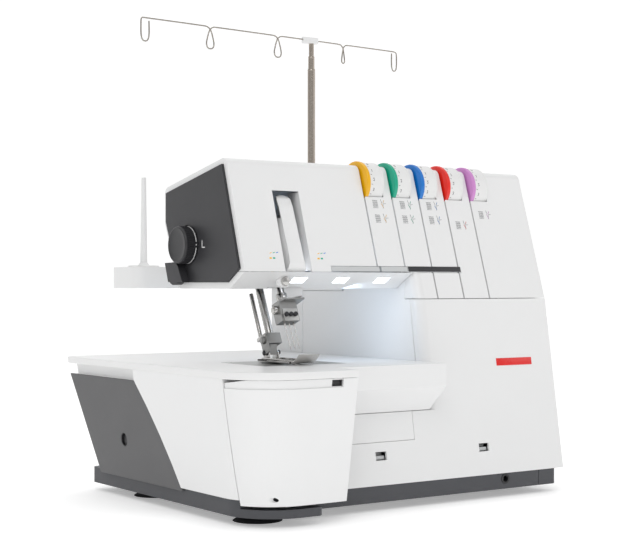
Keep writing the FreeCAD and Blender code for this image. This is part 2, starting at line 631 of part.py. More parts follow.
def make_looper_cover():
    """The hinged looper cover, its latch and the rail pin that it slides and swings on."""
    outer = cover_block("0", "cover_low", "cover_top")
    inner = cover_block("wall", "cover_low - 2", "cover_top + 2")
    room = common(inner, box(("bed_left - 5", "cover_right - wall"), ("bed_front - 5", "wing_end + 5"),
                             ("cover_low - 5", "cover_top + 5")))
    side_open = box(("cover_right - wall - 1", "cover_right + 1"),
                    (f"{cover_face('cover_low')} + 14", "wing_end + 5"), ("cover_low - 5", "cover_top + 5"))
    behind = prism("X", (("wing_end", "cover_low - 5"), ("wing_end", "cover_top - corner_drop"),
                         ("pin_y", "cover_top"), ("pin_y", "cover_top + 5"),
                         ("form_end + 5", "cover_top + 5"), ("form_end + 5", "cover_low - 5")),
                   ("bed_left - 5", "cover_right + 5"))
    shell = cut(outer, room, side_open, behind)
    band = cut(cover_block("-2", "groove_low", "cover_top + 1"),
               cover_block("groove_deep", "groove_low - 1", "cover_top + 2"))
    reach = box(("bed_left - 9", "groove_end"), ("bed_front - 9", "wing_end + 9"),
                ("groove_low", "cover_top + 1"))
    window = box(("groove_end - latch_width", "groove_end"), ("bed_front - 5", "bed_front + 12"),
                 ("groove_low + 1", "groove_low + 1 + latch_height"))
    ears = []
    for low in ("cover_right - 51", "cover_right - 22"):
        ears.append(cylinder("X", "eye_radius", (low, f"{low} + 10"), ("pin_y", "pin_z")))
        ears.append(box((low, f"{low} + 10"), (f"{cover_face('cover_low')} + wall - 1.6", "pin_y"),
                        ("pin_z - 1", "pin_z + eye_radius")))
    bore = cylinder("X", "pin_radius + fit_gap", ("cover_right - 90", "cover_right + 9"),
                    ("pin_y", "pin_z"))
    node(cut(fuse(cut(shell, common(band, reach), window), *ears), bore), "looper_cover")

    latch = box(("groove_end - latch_width + seam", "groove_end - seam"),
                (f"{cover_face('groove_low')} + wall + 0.4", f"{cover_face('groove_low')} + wall + 6"),
                ("groove_low + 1 + seam", "groove_low + 1 + latch_height - seam"))
    node(latch, "looper_cover_latch")

    rod = cylinder("X", "pin_radius", ("cover_right - 57", "cover_right - 4"), ("pin_y", "pin_z"))
    shoes = []
    for low in ("cover_right - 57", "cover_right - 30"):
        shoes.append(box((low, f"{low} + 5"), ("pin_y", "pin_y + shoe_end"), ("pin_z - 2", "pin_z + 2")))
        shoes.append(box((low, f"{low} + 5"), ("pin_y + shoe_start", "pin_y + shoe_end"),
                         ("rebate + seam", "pin_z - 1")))
    node(fuse(rod, *shoes), "looper_cover_pin")


def make_looper_drive():
    """Both loopers on their rock shafts and the pair of knives."""
    for label, x, tip in (("upper_looper", "upper_looper_x", "-16"),
                          ("lower_looper", "lower_looper_x", "16")):
        shaft = cylinder("Y", "looper_radius", ("looper_y - 6", "frame_front + 20"), (x, "looper_z"))
        hub = cylinder("Y", "looper_radius + 4", ("looper_y - 4", "looper_y + looper_thick + 4"),
                       (x, "looper_z"))
        arm = prism("Y", ((f"{x} - 5", "looper_z"), (f"{x} + 5", "looper_z"), (f"{x} + 3", "looper_z + 50"),
                          (f"{x} + ({tip})", "looper_z + 62"), (f"{x} + ({tip}) * 0.9", "looper_z + 58"),
                          (f"{x} - 3", "looper_z + 44")), ("looper_y", "looper_y + looper_thick"))
        node(fuse(shaft, hub, arm), label)
    pivot = cylinder("Y", "looper_radius", ("looper_y - 4", "frame_front + 16"), ("knife_x", "knife_z"))
    hub = cylinder("Y", "looper_radius + 3", ("looper_y", "looper_y + 10"), ("knife_x", "knife_z"))
    arm = prism("Y", (("knife_x - 4", "knife_z"), ("knife_x + 4", "knife_z + 4"),
                      ("knife_x - 14", "knife_z + 46"), ("knife_x - 22", "knife_z + 42")),
                ("looper_y + 2", "looper_y + 7"))
    node(fuse(pivot, hub, arm), "upper_knife")
    holder = box(("knife_x - 34", "knife_x - 26"), ("frame_front - 12", "frame_front"),
                 ("bed_top - 50", "bed_top - 20"))
    blade = box(("knife_x - 34", "knife_x - 31"), ("frame_front - 12", "frame_front - 3"),
                ("bed_top - 22", "bed_top - plate_thick - 1"))
    node(fuse(holder, blade), "lower_knife")


# ---------------------------------------------------------------- lower front
def front_slab(span, low, high, start, deep):
    """A slab that follows the lower front face, between two heights and two depths."""
    return prism("X", ((f"{lower_front(low)} + {start}", low), (f"{lower_front(high)} + {start}", high),
                       (f"{lower_front(high)} + {deep}", high), (f"{lower_front(low)} + {deep}", low)),
                       span)


def make_lower_front():
    """Ledge beside the looper cover, lower front cover and its small access panel."""
    ledge_x = ("cover_right + 0.5", "tower_left")
    back = "front_foot + lower_lean * (ledge_foot_z - cover_bottom)"
    points = (("ledge_front", "ledge_low"), ("ledge_front", "bed_top"), ("ledge_front + wall", "bed_top"),
              ("ledge_front + wall", "ledge_low + 1"), (f"{back}", "ledge_foot_z + 3.4"),
              (f"{back}", "ledge_foot_z"))
    shell = prism("X", points, ledge_x)
    under_plate = "bed_top - plate_thick - seam"
    end = prism("X",
                (("ledge_front", "ledge_low"), ("ledge_front", "bed_top"),
                 ("ledge_front + wall", "bed_top"),
                      ("ledge_front + wall", under_plate), (lower_front(under_plate), under_plate),
                      (lower_front("ledge_foot_z"), "ledge_foot_z")),
                ("tower_left - wall", "tower_left"))
    node(fuse(shell, end), "front_ledge")

    low, high = "cover_bottom", "seam_z"
    split = "ledge_foot_z - 0.5"
    block = fuse(front_slab(("cover_right + 0.5", "tower_right"), low, split, "0", "cover_depth"),
                 rounded_front(front_slab(("tower_left", "tower_right"), split, high, "0", "cover_depth"),
                               "corner_round", "tower_left", "0", lower_front))
    inner = ("tower_left + wall", "tower_right - wall")
    wide = fuse(front_slab(("cover_right - 5", "tower_right - wall"), "cover_bottom - 1", split, "wall",
                           "30"),
                rounded_front(front_slab(inner, f"{split} - 1", "seam_z + 1", "wall", "30"),
                              "corner_round - wall", "tower_left + wall", "wall", lower_front))
    body = cut(block, wide)
    clips = [box((f"{x} - clip_wide / 2", f"{x} + clip_wide / 2"), ("front_foot - 5", "front_foot + 20"),
                 ("clip_z - clip_high / 2", "clip_z + clip_high / 2")) for x in ("clip_left", "clip_right")]
    gate = box(("cover_right - 5", "access_right + seam"), ("front_foot - 5", "front_foot + 20"),
               ("access_low - seam", "ledge_foot_z"))
    node(cut(body, *clips, gate), "lower_front_cover")

    low, high = "access_low", "ledge_foot_z - seam"
    panel = prism("X", ((lower_front(low), low), (lower_front(high), high),
                        (f"{lower_front(high)} + wall", high), (f"{lower_front(low)} + wall", low)),
                  ("cover_right + 0.5", "access_right"))
    node(panel, "access_panel")


# ---------------------------------------------------------------- head and tower
def make_head():
    """Upper front cover, rear cover, side cover, throat wall, head underside and end cap."""
    span = ("head_left", "tower_right")
    form = rounded(prism("X", HEAD_OUTLINE, span), "top_round",
                   {"y": upper_front("head_top"), "z": "head_top"})
    form = rounded(form, "back_round", {"y": "head_back", "z": "back_top"},
                   {"y": "head_back", "z": "back_mid"}, {"y": "belly_back", "z": "belly"})
    room = core("X", HEAD_OUTLINE, ("head_left + wall", "tower_right - wall"))
    mouth = core("X", HEAD_OUTLINE, ("head_left - 1", "head_left + wall + 1"), "cap_inset - seam")
    room = peak_rounded(room, "top_round - wall")
    shell = cut(form, room, mouth)
    front_zone = prism("X",
                       (("bed_front - far", "lip_z"), ("bed_front - far", "head_top + 20"),
                        ("split_y", "head_top + 20"),
                             ("split_y", "split_z"), ("split_front", "split_z"), ("split_front", "lip_z")),
                       ("head_left - 5", "tower_right + 5"))
    front = common(shell, front_zone)
    tower_front = prism("X",
                        ((upper_front("seam_z + 0.6"), "seam_z + 0.6"), (upper_front("lip_z"), "lip_z"),
                              ("split_front", "lip_z"), ("split_front", "seam_z + 0.6")),
                        ("tower_left", "tower_right"))
    tower_front = rounded_front(tower_front, "corner_round", "tower_left", "0", upper_front)
    tower_room = prism("X", ((f"{upper_front('seam_z - 1')} + wall", "seam_z - 1"),
                             (f"{upper_front('lip_z + 1')} + wall", "lip_z + 1"),
                             ("split_front + 1", "lip_z + 1"), ("split_front + 1", "seam_z - 1")),
                       ("tower_left + wall", "tower_right - wall"))
    tower_room = rounded_front(tower_room, "corner_round - wall", "tower_left + wall", "wall", upper_front)
    throat_room = box(("tower_left - 1", "tower_left + wall + 1"),
                      (f"{upper_front('lip_z')} + cover_depth", "split_front + 1"),
                      ("seam_z - 1", "lip_z + 1"))
    front = fuse(front, cut(tower_front, tower_room, throat_room))
    cuts = [box(("slot_left", "slot_right"), ("bed_front - far", "split_front"),
                ("lip_z - 5", "slot_high")),
            front_strip(("trim_left - seam", "trim_right + 0.25"), "trim_low - 1", "trim_top", "-9",
                        "trim_deep"),
            front_strip(("trim_right + 0.2", "trim_end + seam"), "trim_low - 1", "trim_top", "-9",
                        "trim_skin + 0.2")]
    for index in range(5):
        middle = thread_slot(index)
        end = "lip_z - 5" if index < 2 else "seam_z"
        cuts.append(box((f"{middle} - thread_gap / 2", f"{middle} + thread_gap / 2"),
                        ("bed_front - far", "thread_back"),
                        (end, "head_top + 10")))
        cuts.append(cylinder("X", "dial_radius + run_gap", (middle, f"{middle} + dial_wide + 2.2"),
                             ("dial_y", "dial_z")))
    node(cut(front, *cuts), "upper_front_cover")

    back_zone = prism("X", (("split_y + seam", "split_z - seam"), ("split_y + seam", "head_top"),
                            ("head_back + 20", "head_top"), ("head_back + 20", "belly - 10"),
                            ("belly_back - 4", "belly - 10"), ("belly_back - 4", "split_z - seam")),
                      ("head_left - 5", "tower_right + 5"))
    head_part = common(shell, back_zone)
    tower_block = box(("tower_left", "tower_right"), ("belly_back - wall", "low_back"),
                      ("cover_bottom", "low_top"))
    tower_hollow = box(("tower_left + wall", "tower_right - wall"), ("belly_back - 10", "low_back - wall"),
                       ("cover_bottom - 1", "low_top - wall"))
    side_hollow = box(("tower_left - 1", "tower_right + 1"), ("belly_back - 10", "rear_side"),
                      ("cover_bottom - 1", "low_top - wall"))
    neck = box(("tower_left", "tower_right"), ("belly_back - wall", "belly_back"),
               ("low_top - 1", "belly + 4"))
    bed_clear = box(("tower_left - 1", "tower_left + wall + 0.1"), ("belly_back - 10", "low_back - wall"),
                    ("cover_bottom - 1", "bed_top - plate_thick - 3"))
    node(fuse(head_part, cut(tower_block, tower_hollow, side_hollow, bed_clear), neck), "rear_cover")

    side = prism("X", ((f"{lower_front('cover_bottom')} + cover_depth + seam", "cover_bottom"),
                       (f"{lower_front('seam_z')} + cover_depth + seam", "seam_z + seam"),
                       ("split_front + seam", "seam_z + seam"), ("split_front + seam", "split_z - seam"),
                       ("belly_back - 5", "split_z - seam"), ("belly_back - 5", "low_top - wall - seam"),
                       ("rear_side - seam", "low_top - wall - seam"), ("rear_side - seam", "cover_bottom")),
                 ("tower_right - wall", "tower_right"))
    openings = [
        cylinder("X", "shaft_radius + run_gap", ("tower_right - 9", "tower_right + 9"),
                 ("shaft_y", "shaft_z")),
        cylinder("X", "3 + fit_gap", ("tower_right - 9", "tower_right + 9"), ("stitch_y", "stitch_z")),
        box(("tower_right - 9", "tower_right + 9"), ("switch_y - 5", "switch_y + 5"),
            ("switch_z - 8", "switch_z + 8")),
        box(("tower_right - 9", "tower_right + 9"), ("inlet_y - 14", "inlet_y + 14"),
            ("inlet_z - 10", "inlet_z + 10")),
    ]
    node(cut(side, *openings), "right_side_cover")

    throat = prism("X", ((f"{lower_front('bed_top')} + cover_depth + seam", "bed_top - 10"),
                         (f"{lower_front('seam_z')} + cover_depth + seam", "seam_z"),
                         (f"{upper_front('lip_z')} + cover_depth + seam", "seam_z"),
                         (f"{upper_front('lip_z')} + cover_depth + seam", "lip_z - seam"),
                         ("belly_back - 5", "lip_z - seam"),
                         ("belly_back - 5", "low_top - wall - seam"),
                         ("rear_side - seam", "low_top - wall - seam"),
                         ("rear_side - seam", "bed_top - 10")),
                   ("tower_left", "tower_left + wall"))
    node(throat, "throat_wall")

    under_zone = prism("X",
                       (("bed_front - far", "belly - 10"), ("bed_front - far", "lip_z - seam"),
                        ("split_front", "lip_z - seam"),
                             ("belly_back - 4 - seam", "lip_z - seam"),
                             ("belly_back - 4 - seam", "belly - 10")),
                       ("head_left", "tower_left - seam"))
    mouth = box(("bar_x - 24", "bar_x + 16"), ("belly_front - 2", "belly_back - 22"),
                ("belly - 5", "lip_z + 5"))
    lamps = [box((f"lamp_first + lamp_pitch * {index} - 6",
                  f"lamp_first + lamp_pitch * {index} - 6 + lamp_wide"),
                 ("lamp_y", "lamp_y + 9"), ("belly - 5", "lip_z + 5")) for index in range(3)]
    node(cut(common(shell, under_zone), mouth, *lamps), "head_underside")
    lenses = [common(common(form, under_zone),
                     box((f"lamp_first + lamp_pitch * {index} - 5.8",
                          f"lamp_first + lamp_pitch * {index} - 6.2 + lamp_wide"),
                         ("lamp_y + 0.2", "lamp_y + 8.8"),
                         ("belly - 5", "lip_z - 1"))) for index in range(3)]
    node(group(*lenses), "lamp_lenses")

    cap = core("X", HEAD_OUTLINE, ("cap_face", "cap_back"), "cap_inset")
    cap = common(cap, box(("-400", "400"), ("bed_front - far", "400"), ("belly + 2", "head_top")))
    flange = peak_rounded(core("X", HEAD_OUTLINE, ("head_left + wall + seam", "cap_back"), "wall + seam"),
                          "top_round - wall - seam")
    cap_room = core("X", HEAD_OUTLINE, ("cap_face + wall", "cap_back + 1"), "cap_inset + wall")
    knob_seat = cylinder("X", "knob_radius + 1.6", ("cap_face - 1", "cap_face + 1.2"), ("knob_y", "knob_z"))
    stud_holes = [cylinder("X", "3 + fit_gap", ("cap_face - 1", "cap_back + 1"), ("knob_y", "knob_z")),
                  cylinder("X", "3 + fit_gap", ("cap_face - 1", "cap_back + 1"), ("lifter_y", "lifter_z"))]
    node(cut(fuse(cap, flange), cap_room, knob_seat, *stud_holes), "head_end_cap")


def make_head_trim():
    """Thread guide bars under the head's front edge, the take-up cover and the take-up lever."""
    spans = ((("trim_left", "trim_mid"), "trim_deep - 1"),
             (("trim_mid + 2.4", "trim_right"), "trim_deep - 1"),
             (("trim_right + 0.5", "trim_end"), "trim_skin"))
    bars = [front_strip(span, "trim_low", "trim_top - seam", "0", deep) for span, deep in spans]
    node(group(*bars), "thread_guide_bars")

    top, low = "slot_high - 4", "slot_low + 2"
    strip = prism("X", ((f"{upper_front(top)} + 7", top), (f"{upper_front(top)} + 2.5", f"{top} - 3"),
                        (f"{upper_front('275')} + 1.2", "275"), (f"{upper_front(low)} - 1", low),
                        (f"{upper_front(low)} + 6", f"{low} - 7"),
                        (f"{upper_front(low)} + 8.5", f"{low} - 7"),
                        (f"{upper_front(low)} + 2", f"{low} + 1"), (f"{upper_front('275')} + 3.8", "275"),
                        (f"{upper_front(top)} + 5.5", f"{top} - 4"),
                        (f"{upper_front(top)} + 10", f"{top} - 0.5")),
                  ("take_up_left", "take_up_right"))
    tab = front_strip(("take_up_left", "take_up_right"), "slot_high - 7", "slot_high + 8", "wall + seam",
                      "8")
    node(fuse(strip, tab), "take_up_cover")

    lever = prism("X",
                  (("take_up_pin_y - 4", "take_up_pin_z - 5"), ("take_up_pin_y + 5", "take_up_pin_z - 4"),
                        ("take_up_pin_y + 1", "take_up_pin_z + 38"),
                        ("take_up_pin_y - 3", "take_up_pin_z + 38")),
                  ("slot_left + 2.5", "slot_left + 2.5 + take_up_thick"))
    bore = cylinder("X", "2.5 + fit_gap", ("slot_left - 5", "slot_left + 15"),
                    ("take_up_pin_y", "take_up_pin_z"))
    node(cut(lever, bore), "take_up_lever")


def make_tensions():
    """The tension rail with its shaft and five thumbwheels."""
    floor = box(("rail_left", "rail_right"), ("dial_y - 15", "beam_y + frame_wall"),
                ("frame_top", "frame_top + 3"))
    cheeks = [box((x, f"{x} + 3"), ("dial_y - 8", "dial_y + 8"), ("frame_top + 2", "dial_z + 8"))
              for x in ("rail_left", "rail_right - 3")]
    shaft = cylinder("X", "dial_bore", ("rail_left", "rail_right"), ("dial_y", "dial_z"))
    node(fuse(floor, *cheeks, shaft), "tension_rail")
    for index in range(5):
        points = (("dial_bore + fit_gap", "0.5"), ("dial_radius - 1", "0.5"), ("dial_radius", "1.5"),
                  ("dial_radius", "dial_wide - 1"), ("dial_radius - 1", "dial_wide"),
                  ("dial_bore + fit_gap", "dial_wide"))
        turned_body(f"tension_dial_{index + 1}", points, "X",
                    (f"{thread_slot(index)} + thread_gap / 2 + 0.2", "dial_y", "dial_z"))


# ---------------------------------------------------------------- needle and presser
def make_needles():
    """Needle bar with clamp, needles and thread guide, drawn upright and then leaned."""
    node(leaned(cylinder("Z", "needle_bar_radius", ("needle_bar_low", "needle_bar_high"), ("0", "0"))),
         "needle_bar")
    block = box(("-needle_step - 5", "needle_step + 5"), ("-7", "6"),
                ("needle_bar_low - 13", "needle_bar_low + 8"))
    bore = cylinder("Z", "needle_bar_radius", ("needle_bar_low", "needle_bar_low + 20"), ("0", "0"))
    sockets = [cylinder("Z", "1", ("needle_bar_low - 14", "needle_bar_low - 3"),
                        (f"needle_step * {k}", "-2"))
               for k in (-1, 0, 1)]
    taps = [cylinder("Y", "1.4 + fit_gap", ("-8", "-3"),
                     (f"needle_step * {k}", "needle_bar_low - 7")) for k in (-1, 0, 1)]
    guide = box(("-6", "18"), ("-12", "5"), ("needle_bar_low + 7.5", "needle_bar_low + 9.2"))
    node(leaned(cut(fuse(block, guide), bore, *sockets, *taps)), "needle_clamp")
    screws = []
    for k in (-1, 0, 1):
        stem = cylinder("Y", "1.4", ("-7.2", "-3.1"), (f"needle_step * {k}", "needle_bar_low - 7"))
        head = cylinder("Y", "2.3", ("-10", "-7"), (f"needle_step * {k}", "needle_bar_low - 7"))
        screws.append(fuse(stem, head))
    node(leaned(*screws), "needle_screws")
    shanks = []
    for k in (-1, 0, 1):
        shank = cylinder("Z", "1", ("needle_bar_low - 17", "needle_bar_low - 3"),
                         (f"needle_step * {k}", "-2"))
        blade = cylinder("Z", "0.5", ("needle_bar_low - needle_long + 3", "needle_bar_low - 17"),
                         (f"needle_step * {k}", "-2"))
        tip = cone("Z", "0.15", "0.5", ("needle_bar_low - needle_long", "needle_bar_low - needle_long + 3"),
                   (f"needle_step * {k}", "-2"))
        shanks.append(fuse(shank, blade, tip))
    node(leaned(*shanks), "needles")
    rings = []
    for low in ("lug_low", "lug_high"):
        for radius, y in (("needle_bar_radius", "0"), ("presser_radius", "presser_behind")):
            tube = cylinder("Z", f"{radius} + bush_wall", (low, f"{low} + lug_thick"), ("0", y))
            rings.append(cut(tube,
                             cylinder("Z", f"{radius} + fit_gap",
                                      (f"{low} - 1", f"{low} + lug_thick + 1"), ("0", y))))
    node(leaned(*rings), "bar_bushes")


def make_presser():
    """Presser bar, ankle and sole of the presser foot."""
    node(leaned(cylinder("Z", "presser_radius", ("presser_low", "presser_high"),
                         ("0", "presser_behind"))), "presser_bar")
    yoke = leaned(box(("-8", "8"), ("presser_behind - 7", "presser_behind + 7"),
                      ("presser_low - 2", "presser_low + 9")))
    seat = leaned(cylinder("Z", "presser_radius", ("presser_low", "presser_low + 20"),
                           ("0", "presser_behind")))
    stem = box(("bar_x - 4", "bar_x + 4"), ("foot_pin_y - 4", "foot_pin_y + 5"),
               ("foot_pin_z - 2", "foot_pin_z + 10"))
    pin = cylinder("X", "1.5", ("bar_x - 7.5", "bar_x + 7.5"), ("foot_pin_y", "foot_pin_z"))
    node(cut(fuse(yoke, stem, pin), seat), "presser_ankle")
    sole = box(("sole_left", "sole_right"), ("sole_toe", "sole_heel"), ("sole_z", "sole_z + sole_thick"))
    toe = prism("X", (("sole_toe + 0.5", "sole_z"), ("sole_toe + 0.5", "sole_z + sole_thick"),
                      ("toe_tip_y + 1", "toe_tip_z"), ("toe_tip_y", "toe_tip_z - 1.6")),
                      ("sole_left", "sole_right"))
    slot = box(("bar_x - needle_step - 2.2", "bar_x + needle_step + 2.2"),
               ("np_front + 2", "np_front + 20"),
               ("sole_z - 1", "sole_z + 8"))
    ears = [box((x, f"{x} + 2"), ("foot_pin_y - 4", "foot_pin_y + 4"), ("sole_z + 1", "foot_pin_z + 2.8"))
            for x in ("bar_x - 6.4", "bar_x + 4.4")]
    bore = cylinder("X", "1.5 + fit_gap", ("bar_x - 20", "bar_x + 20"), ("foot_pin_y", "foot_pin_z"))
    node(cut(fuse(sole, toe, *ears), slot, bore), "presser_foot")


# ---------------------------------------------------------------- drive and controls
def make_drive():
    """Main shaft with handwheel, motor, pulleys and belt."""
    shaft = cylinder("X", "shaft_radius", ("shaft_left", "wheel_face - 4"), ("shaft_y", "shaft_z"))
    pulley = cylinder("X", "pulley_radius", ("pulley_left", "pulley_left + pulley_wide"),
                      ("shaft_y", "shaft_z"))
    node(fuse(shaft, pulley), "main_shaft")
    points = (("shaft_radius", "0"), ("wheel_radius - 2", "0"), ("wheel_radius", "2"),
              ("wheel_radius", "wheel_face - tower_right - wheel_gap - 3"),
              ("wheel_radius - 3", "wheel_face - tower_right - wheel_gap"),
              ("7", "wheel_face - tower_right - wheel_gap"),
              ("7", "wheel_face - tower_right - wheel_gap - 3"),
              ("shaft_radius", "wheel_face - tower_right - wheel_gap - 3"))
    turned_body("handwheel", points, "X", ("tower_right + wheel_gap", "shaft_y", "shaft_z"), 24, "1.6",
                "wheel_radius + 0.6")
    case = cylinder("X", "motor_radius", ("frame_right - motor_long", "frame_right"),
                    ("motor_y", "motor_z"))
    shaft_room = cylinder("X", "motor_shaft_radius + fit_gap", ("frame_right - 30", "frame_right + 1"),
                          ("motor_y", "motor_z"))
    node(cut(case, shaft_room), "motor")
    stem = cylinder("X", "motor_shaft_radius", ("frame_right - 29", "pulley_left + 1"),
                    ("motor_y", "motor_z"))
    wheel = cylinder("X", "motor_pulley_radius", ("pulley_left", "pulley_left + pulley_wide"),
                     ("motor_y", "motor_z"))
    node(fuse(stem, wheel), "motor_pulley")
    node(make_belt(), "timing_belt")


def make_belt():
    """The belt: the band round both pulleys, between their outer tangents."""
    item = doc.addObject("Part::Feature", "Belt")
    big, small = number("pulley_radius + run_gap"), number("motor_pulley_radius + run_gap")
    centre = FreeCAD.Vector(number("pulley_left + 1"), number("shaft_y"), number("shaft_z"))
    other = FreeCAD.Vector(number("pulley_left + 1"), number("motor_y"), number("motor_z"))
    loops = [belt_loop(centre, big + grow, other, small + grow) for grow in (0.0, number("belt_thick"))]
    length = FreeCAD.Vector(number("pulley_wide - 2"), 0, 0)
    inner, outer = [Part.Face(wire).extrude(length) for wire in loops]
    item.Shape = outer.cut(inner)
    return item


def rim_point(middle, radius, angle):
    """A point on a circle that faces along X."""
    return FreeCAD.Vector(middle.x, middle.y + radius * math.cos(angle),
                          middle.z + radius * math.sin(angle))


def belt_loop(centre, big, other, small):
    """A closed wire round two circles that face along X."""
    gap = other - centre
    lean = math.atan2(gap.z, gap.y)
    spread = math.acos((big - small) / gap.Length)
    first, last = lean + spread, lean - spread
    far_arc = Part.Arc(rim_point(centre, big, first), rim_point(centre, big, lean + math.pi),
                       rim_point(centre, big, last + 2 * math.pi))
    near_arc = Part.Arc(rim_point(other, small, last), rim_point(other, small, lean),
                        rim_point(other, small, first))
    low_run = Part.LineSegment(rim_point(centre, big, last), rim_point(other, small, last))
    high_run = Part.LineSegment(rim_point(other, small, first), rim_point(centre, big, first))
    return Part.Wire([far_arc.toShape(), low_run.toShape(), near_arc.toShape(), high_run.toShape()])


def make_controls():
    """Pressure dial, presser lifter, stitch length dial, power switch and inlet."""
    depth = "cap_face - knob_face"
    points = (("0.01", "0"), ("knob_radius - 1.5", "0"), ("knob_radius", "1.5"),
              ("knob_radius", f"{depth} + 0.8"),
              ("3", f"{depth} + 0.8"), ("3", f"{depth} + 16"), ("0.01", f"{depth} + 16"))
    turned_body("pressure_dial", points, "X", ("knob_face", "knob_y", "knob_z"))

    hub = cylinder("X", "lifter_hub", ("lifter_face", "cap_face - seam"), ("lifter_y", "lifter_z"))
    lobe = prism("X", (("lifter_y - 18", "lifter_z - 8.5"), ("lifter_y + 11", "lifter_z - 8.5"),
                       ("lifter_y + 18", "lifter_z + 11"), ("lifter_y + 2", "lifter_z + 11.3"),
                       ("lifter_y - 8", "lifter_z + 8")), ("lifter_face", "cap_face - seam"))
    stud = cylinder("X", "3", ("cap_face - 2", "cap_back + 14"), ("lifter_y", "lifter_z"))
    node(fuse(hub, lobe, stud), "presser_lifter")

    wide = "stitch_face - tower_right - 1"
    points = (("0.01", "-8"), ("3", "-8"), ("3", "0"), ("stitch_radius", "0"),
              ("stitch_radius", f"{wide} - 1.5"),
              ("stitch_radius - 1.5", wide), ("0.01", wide))
    turned_body("stitch_length_dial", points, "X", ("tower_right + 1", "stitch_y", "stitch_z"), 20, "1.1",
                "stitch_radius + 0.4")

    node(prism("Y", (("tower_right - 0.6", "switch_z - 7.4"), ("tower_right + 1.4", "switch_z - 7.2"),
                     ("tower_right + 0.7", "switch_z"), ("tower_right + 3", "switch_z + 7.2"),
                     ("tower_right - 0.6", "switch_z + 7.4")), ("switch_y - 4.6", "switch_y + 4.6")),
                     "power_switch")
    shell = cut(box(("tower_right - 16", "tower_right + 1"), ("inlet_y - 13.8", "inlet_y + 13.8"),
                    ("inlet_z - 9.8", "inlet_z + 9.8")),
                box(("tower_right - 13", "tower_right + 3"), ("inlet_y - 11", "inlet_y + 11"),
                    ("inlet_z - 7", "inlet_z + 7")))
    pins = [box(("tower_right - 14", "tower_right - 3"), (f"inlet_y + {k} - 1", f"inlet_y + {k} + 1"),
                ("inlet_z - 2", "inlet_z + 2")) for k in (-6, 0, 6)]
    node(fuse(shell, *pins), "power_inlet")


# ---------------------------------------------------------------- thread stand
def make_stand():
    """Spool tray with pins, three telescopic tubes, and the guide wire on its block."""
    block = rounded(box(("tray_left", "tray_end"), ("tray_front", "tray_back"),
                        ("tray_low", "tray_high")), "tray_corner",
                    {"x": "tray_left", "y": "tray_front"}, {"x": "tray_left", "y": "tray_back"},
                    {"x": "tray_end", "y": "tray_front"}, {"x": "tray_end", "y": "tray_back"})
    under = box(("tray_left + 8", "tray_end - 8"), ("tray_front + 6", "tray_back - 6"),
                ("tray_low - 1", "tray_high - 3"))
    boss = cylinder("Z", "pole_radius + 4", ("low_top", "tray_high - 1"), ("pole_x", "pole_y"))
    webs = [box((x, f"{x} + 3"), ("tray_front + 5", "low_back - 6"), ("low_top", "tray_high - 2"))
            for x in ("tower_left + 14", "tower_right - 24")]
    bore = cylinder("Z", "pole_radius", ("low_top + 4", "tray_high + 1"), ("pole_x", "pole_y"))
    pin_holes = [cylinder("Z", "2 + fit_gap", ("tray_high - 4", "tray_high + 1"),
                          (f"{x}", "spool_pin_y")) for x in SPOOL_PIN_X]
    node(cut(fuse(cut(block, under), boss, *webs), bore, *pin_holes), "spool_tray")
    pins = []
    for x in SPOOL_PIN_X:
        shaft = cone("Z", "spool_pin_foot", "spool_pin_tip", ("tray_high", "spool_pin_high"),
                     (f"{x}", "spool_pin_y"))
        peg = cylinder("Z", "2", ("tray_high - 2.9", "tray_high + 1"), (f"{x}", "spool_pin_y"))
        pins.append(fuse(shaft, peg))
    node(group(*pins), "spool_pins")

    bore_one = "pole_radius - pole_wall"
    outer = cut(cylinder("Z", "pole_radius", ("low_top + 4", "pole_top"), ("pole_x", "pole_y")),
                cylinder("Z", bore_one, ("low_top + 6", "pole_top + 1"), ("pole_x", "pole_y")))
    node(outer, "stand_tube_outer")
    bore_two = f"{bore_one} - fit_gap - pole_wall"
    middle = cut(cylinder("Z", f"{bore_one} - fit_gap", ("stage_low", "pole_top + stage_step"),
                          ("pole_x", "pole_y")),
                 cylinder("Z", bore_two, ("stage_low - 1", "pole_top + stage_step + 1"),
                          ("pole_x", "pole_y")))
    node(middle, "stand_tube_middle")
    node(cylinder("Z", f"{bore_two} - fit_gap", ("stage_low + 10", "guide_z - 4"), ("pole_x", "pole_y")),
         "stand_tube_inner")

    block = rounded(box(("pole_x - 13", "pole_x + 9"), ("pole_y - 4", "pole_y + 4"),
                        ("guide_z - 4", "guide_z + 3")),
                    "3.5", {"x": "pole_x - 13", "y": "pole_y - 4"}, {"x": "pole_x - 13", "y": "pole_y + 4"},
                    {"x": "pole_x + 9", "y": "pole_y - 4"}, {"x": "pole_x + 9", "y": "pole_y + 4"})
    wire_bore = swung(cylinder("X", "guide_wire + fit_gap", ("guide_left - 5", "guide_right + 5"),
                               ("0", "0")))
    node(cut(block, wire_bore), "guide_block")
    parts = [cylinder("X", "guide_wire", ("guide_left", "guide_right"), ("0", "0"))]
    for x in GUIDE_LOOPS:
        parts.append(cylinder("Z", "guide_wire", ("-loop_drop + 2 * loop_radius", "0"), (f"{x}", "0")))
        ring = doc.addObject("Part::Torus", "Loop")
        bind(ring, "Radius1", "loop_radius")
        bind(ring, "Radius2", "guide_wire")
        ring.Placement = FreeCAD.Placement(FreeCAD.Vector(), TURN_TO["Y"])
        bind(ring, "Placement.Base.x", f"{x}")
        bind(ring, "Placement.Base.z", "-loop_drop + loop_radius")
        parts.append(ring)
    node(swung(fuse(*parts)), "guide_wire")


make_base()
make_frame()
make_bed()
make_looper_cover()
make_looper_drive()
make_lower_front()
make_head()
make_head_trim()
make_tensions()
make_needles()
make_presser()
make_drive()
make_controls()
make_stand()
doc.recompute()

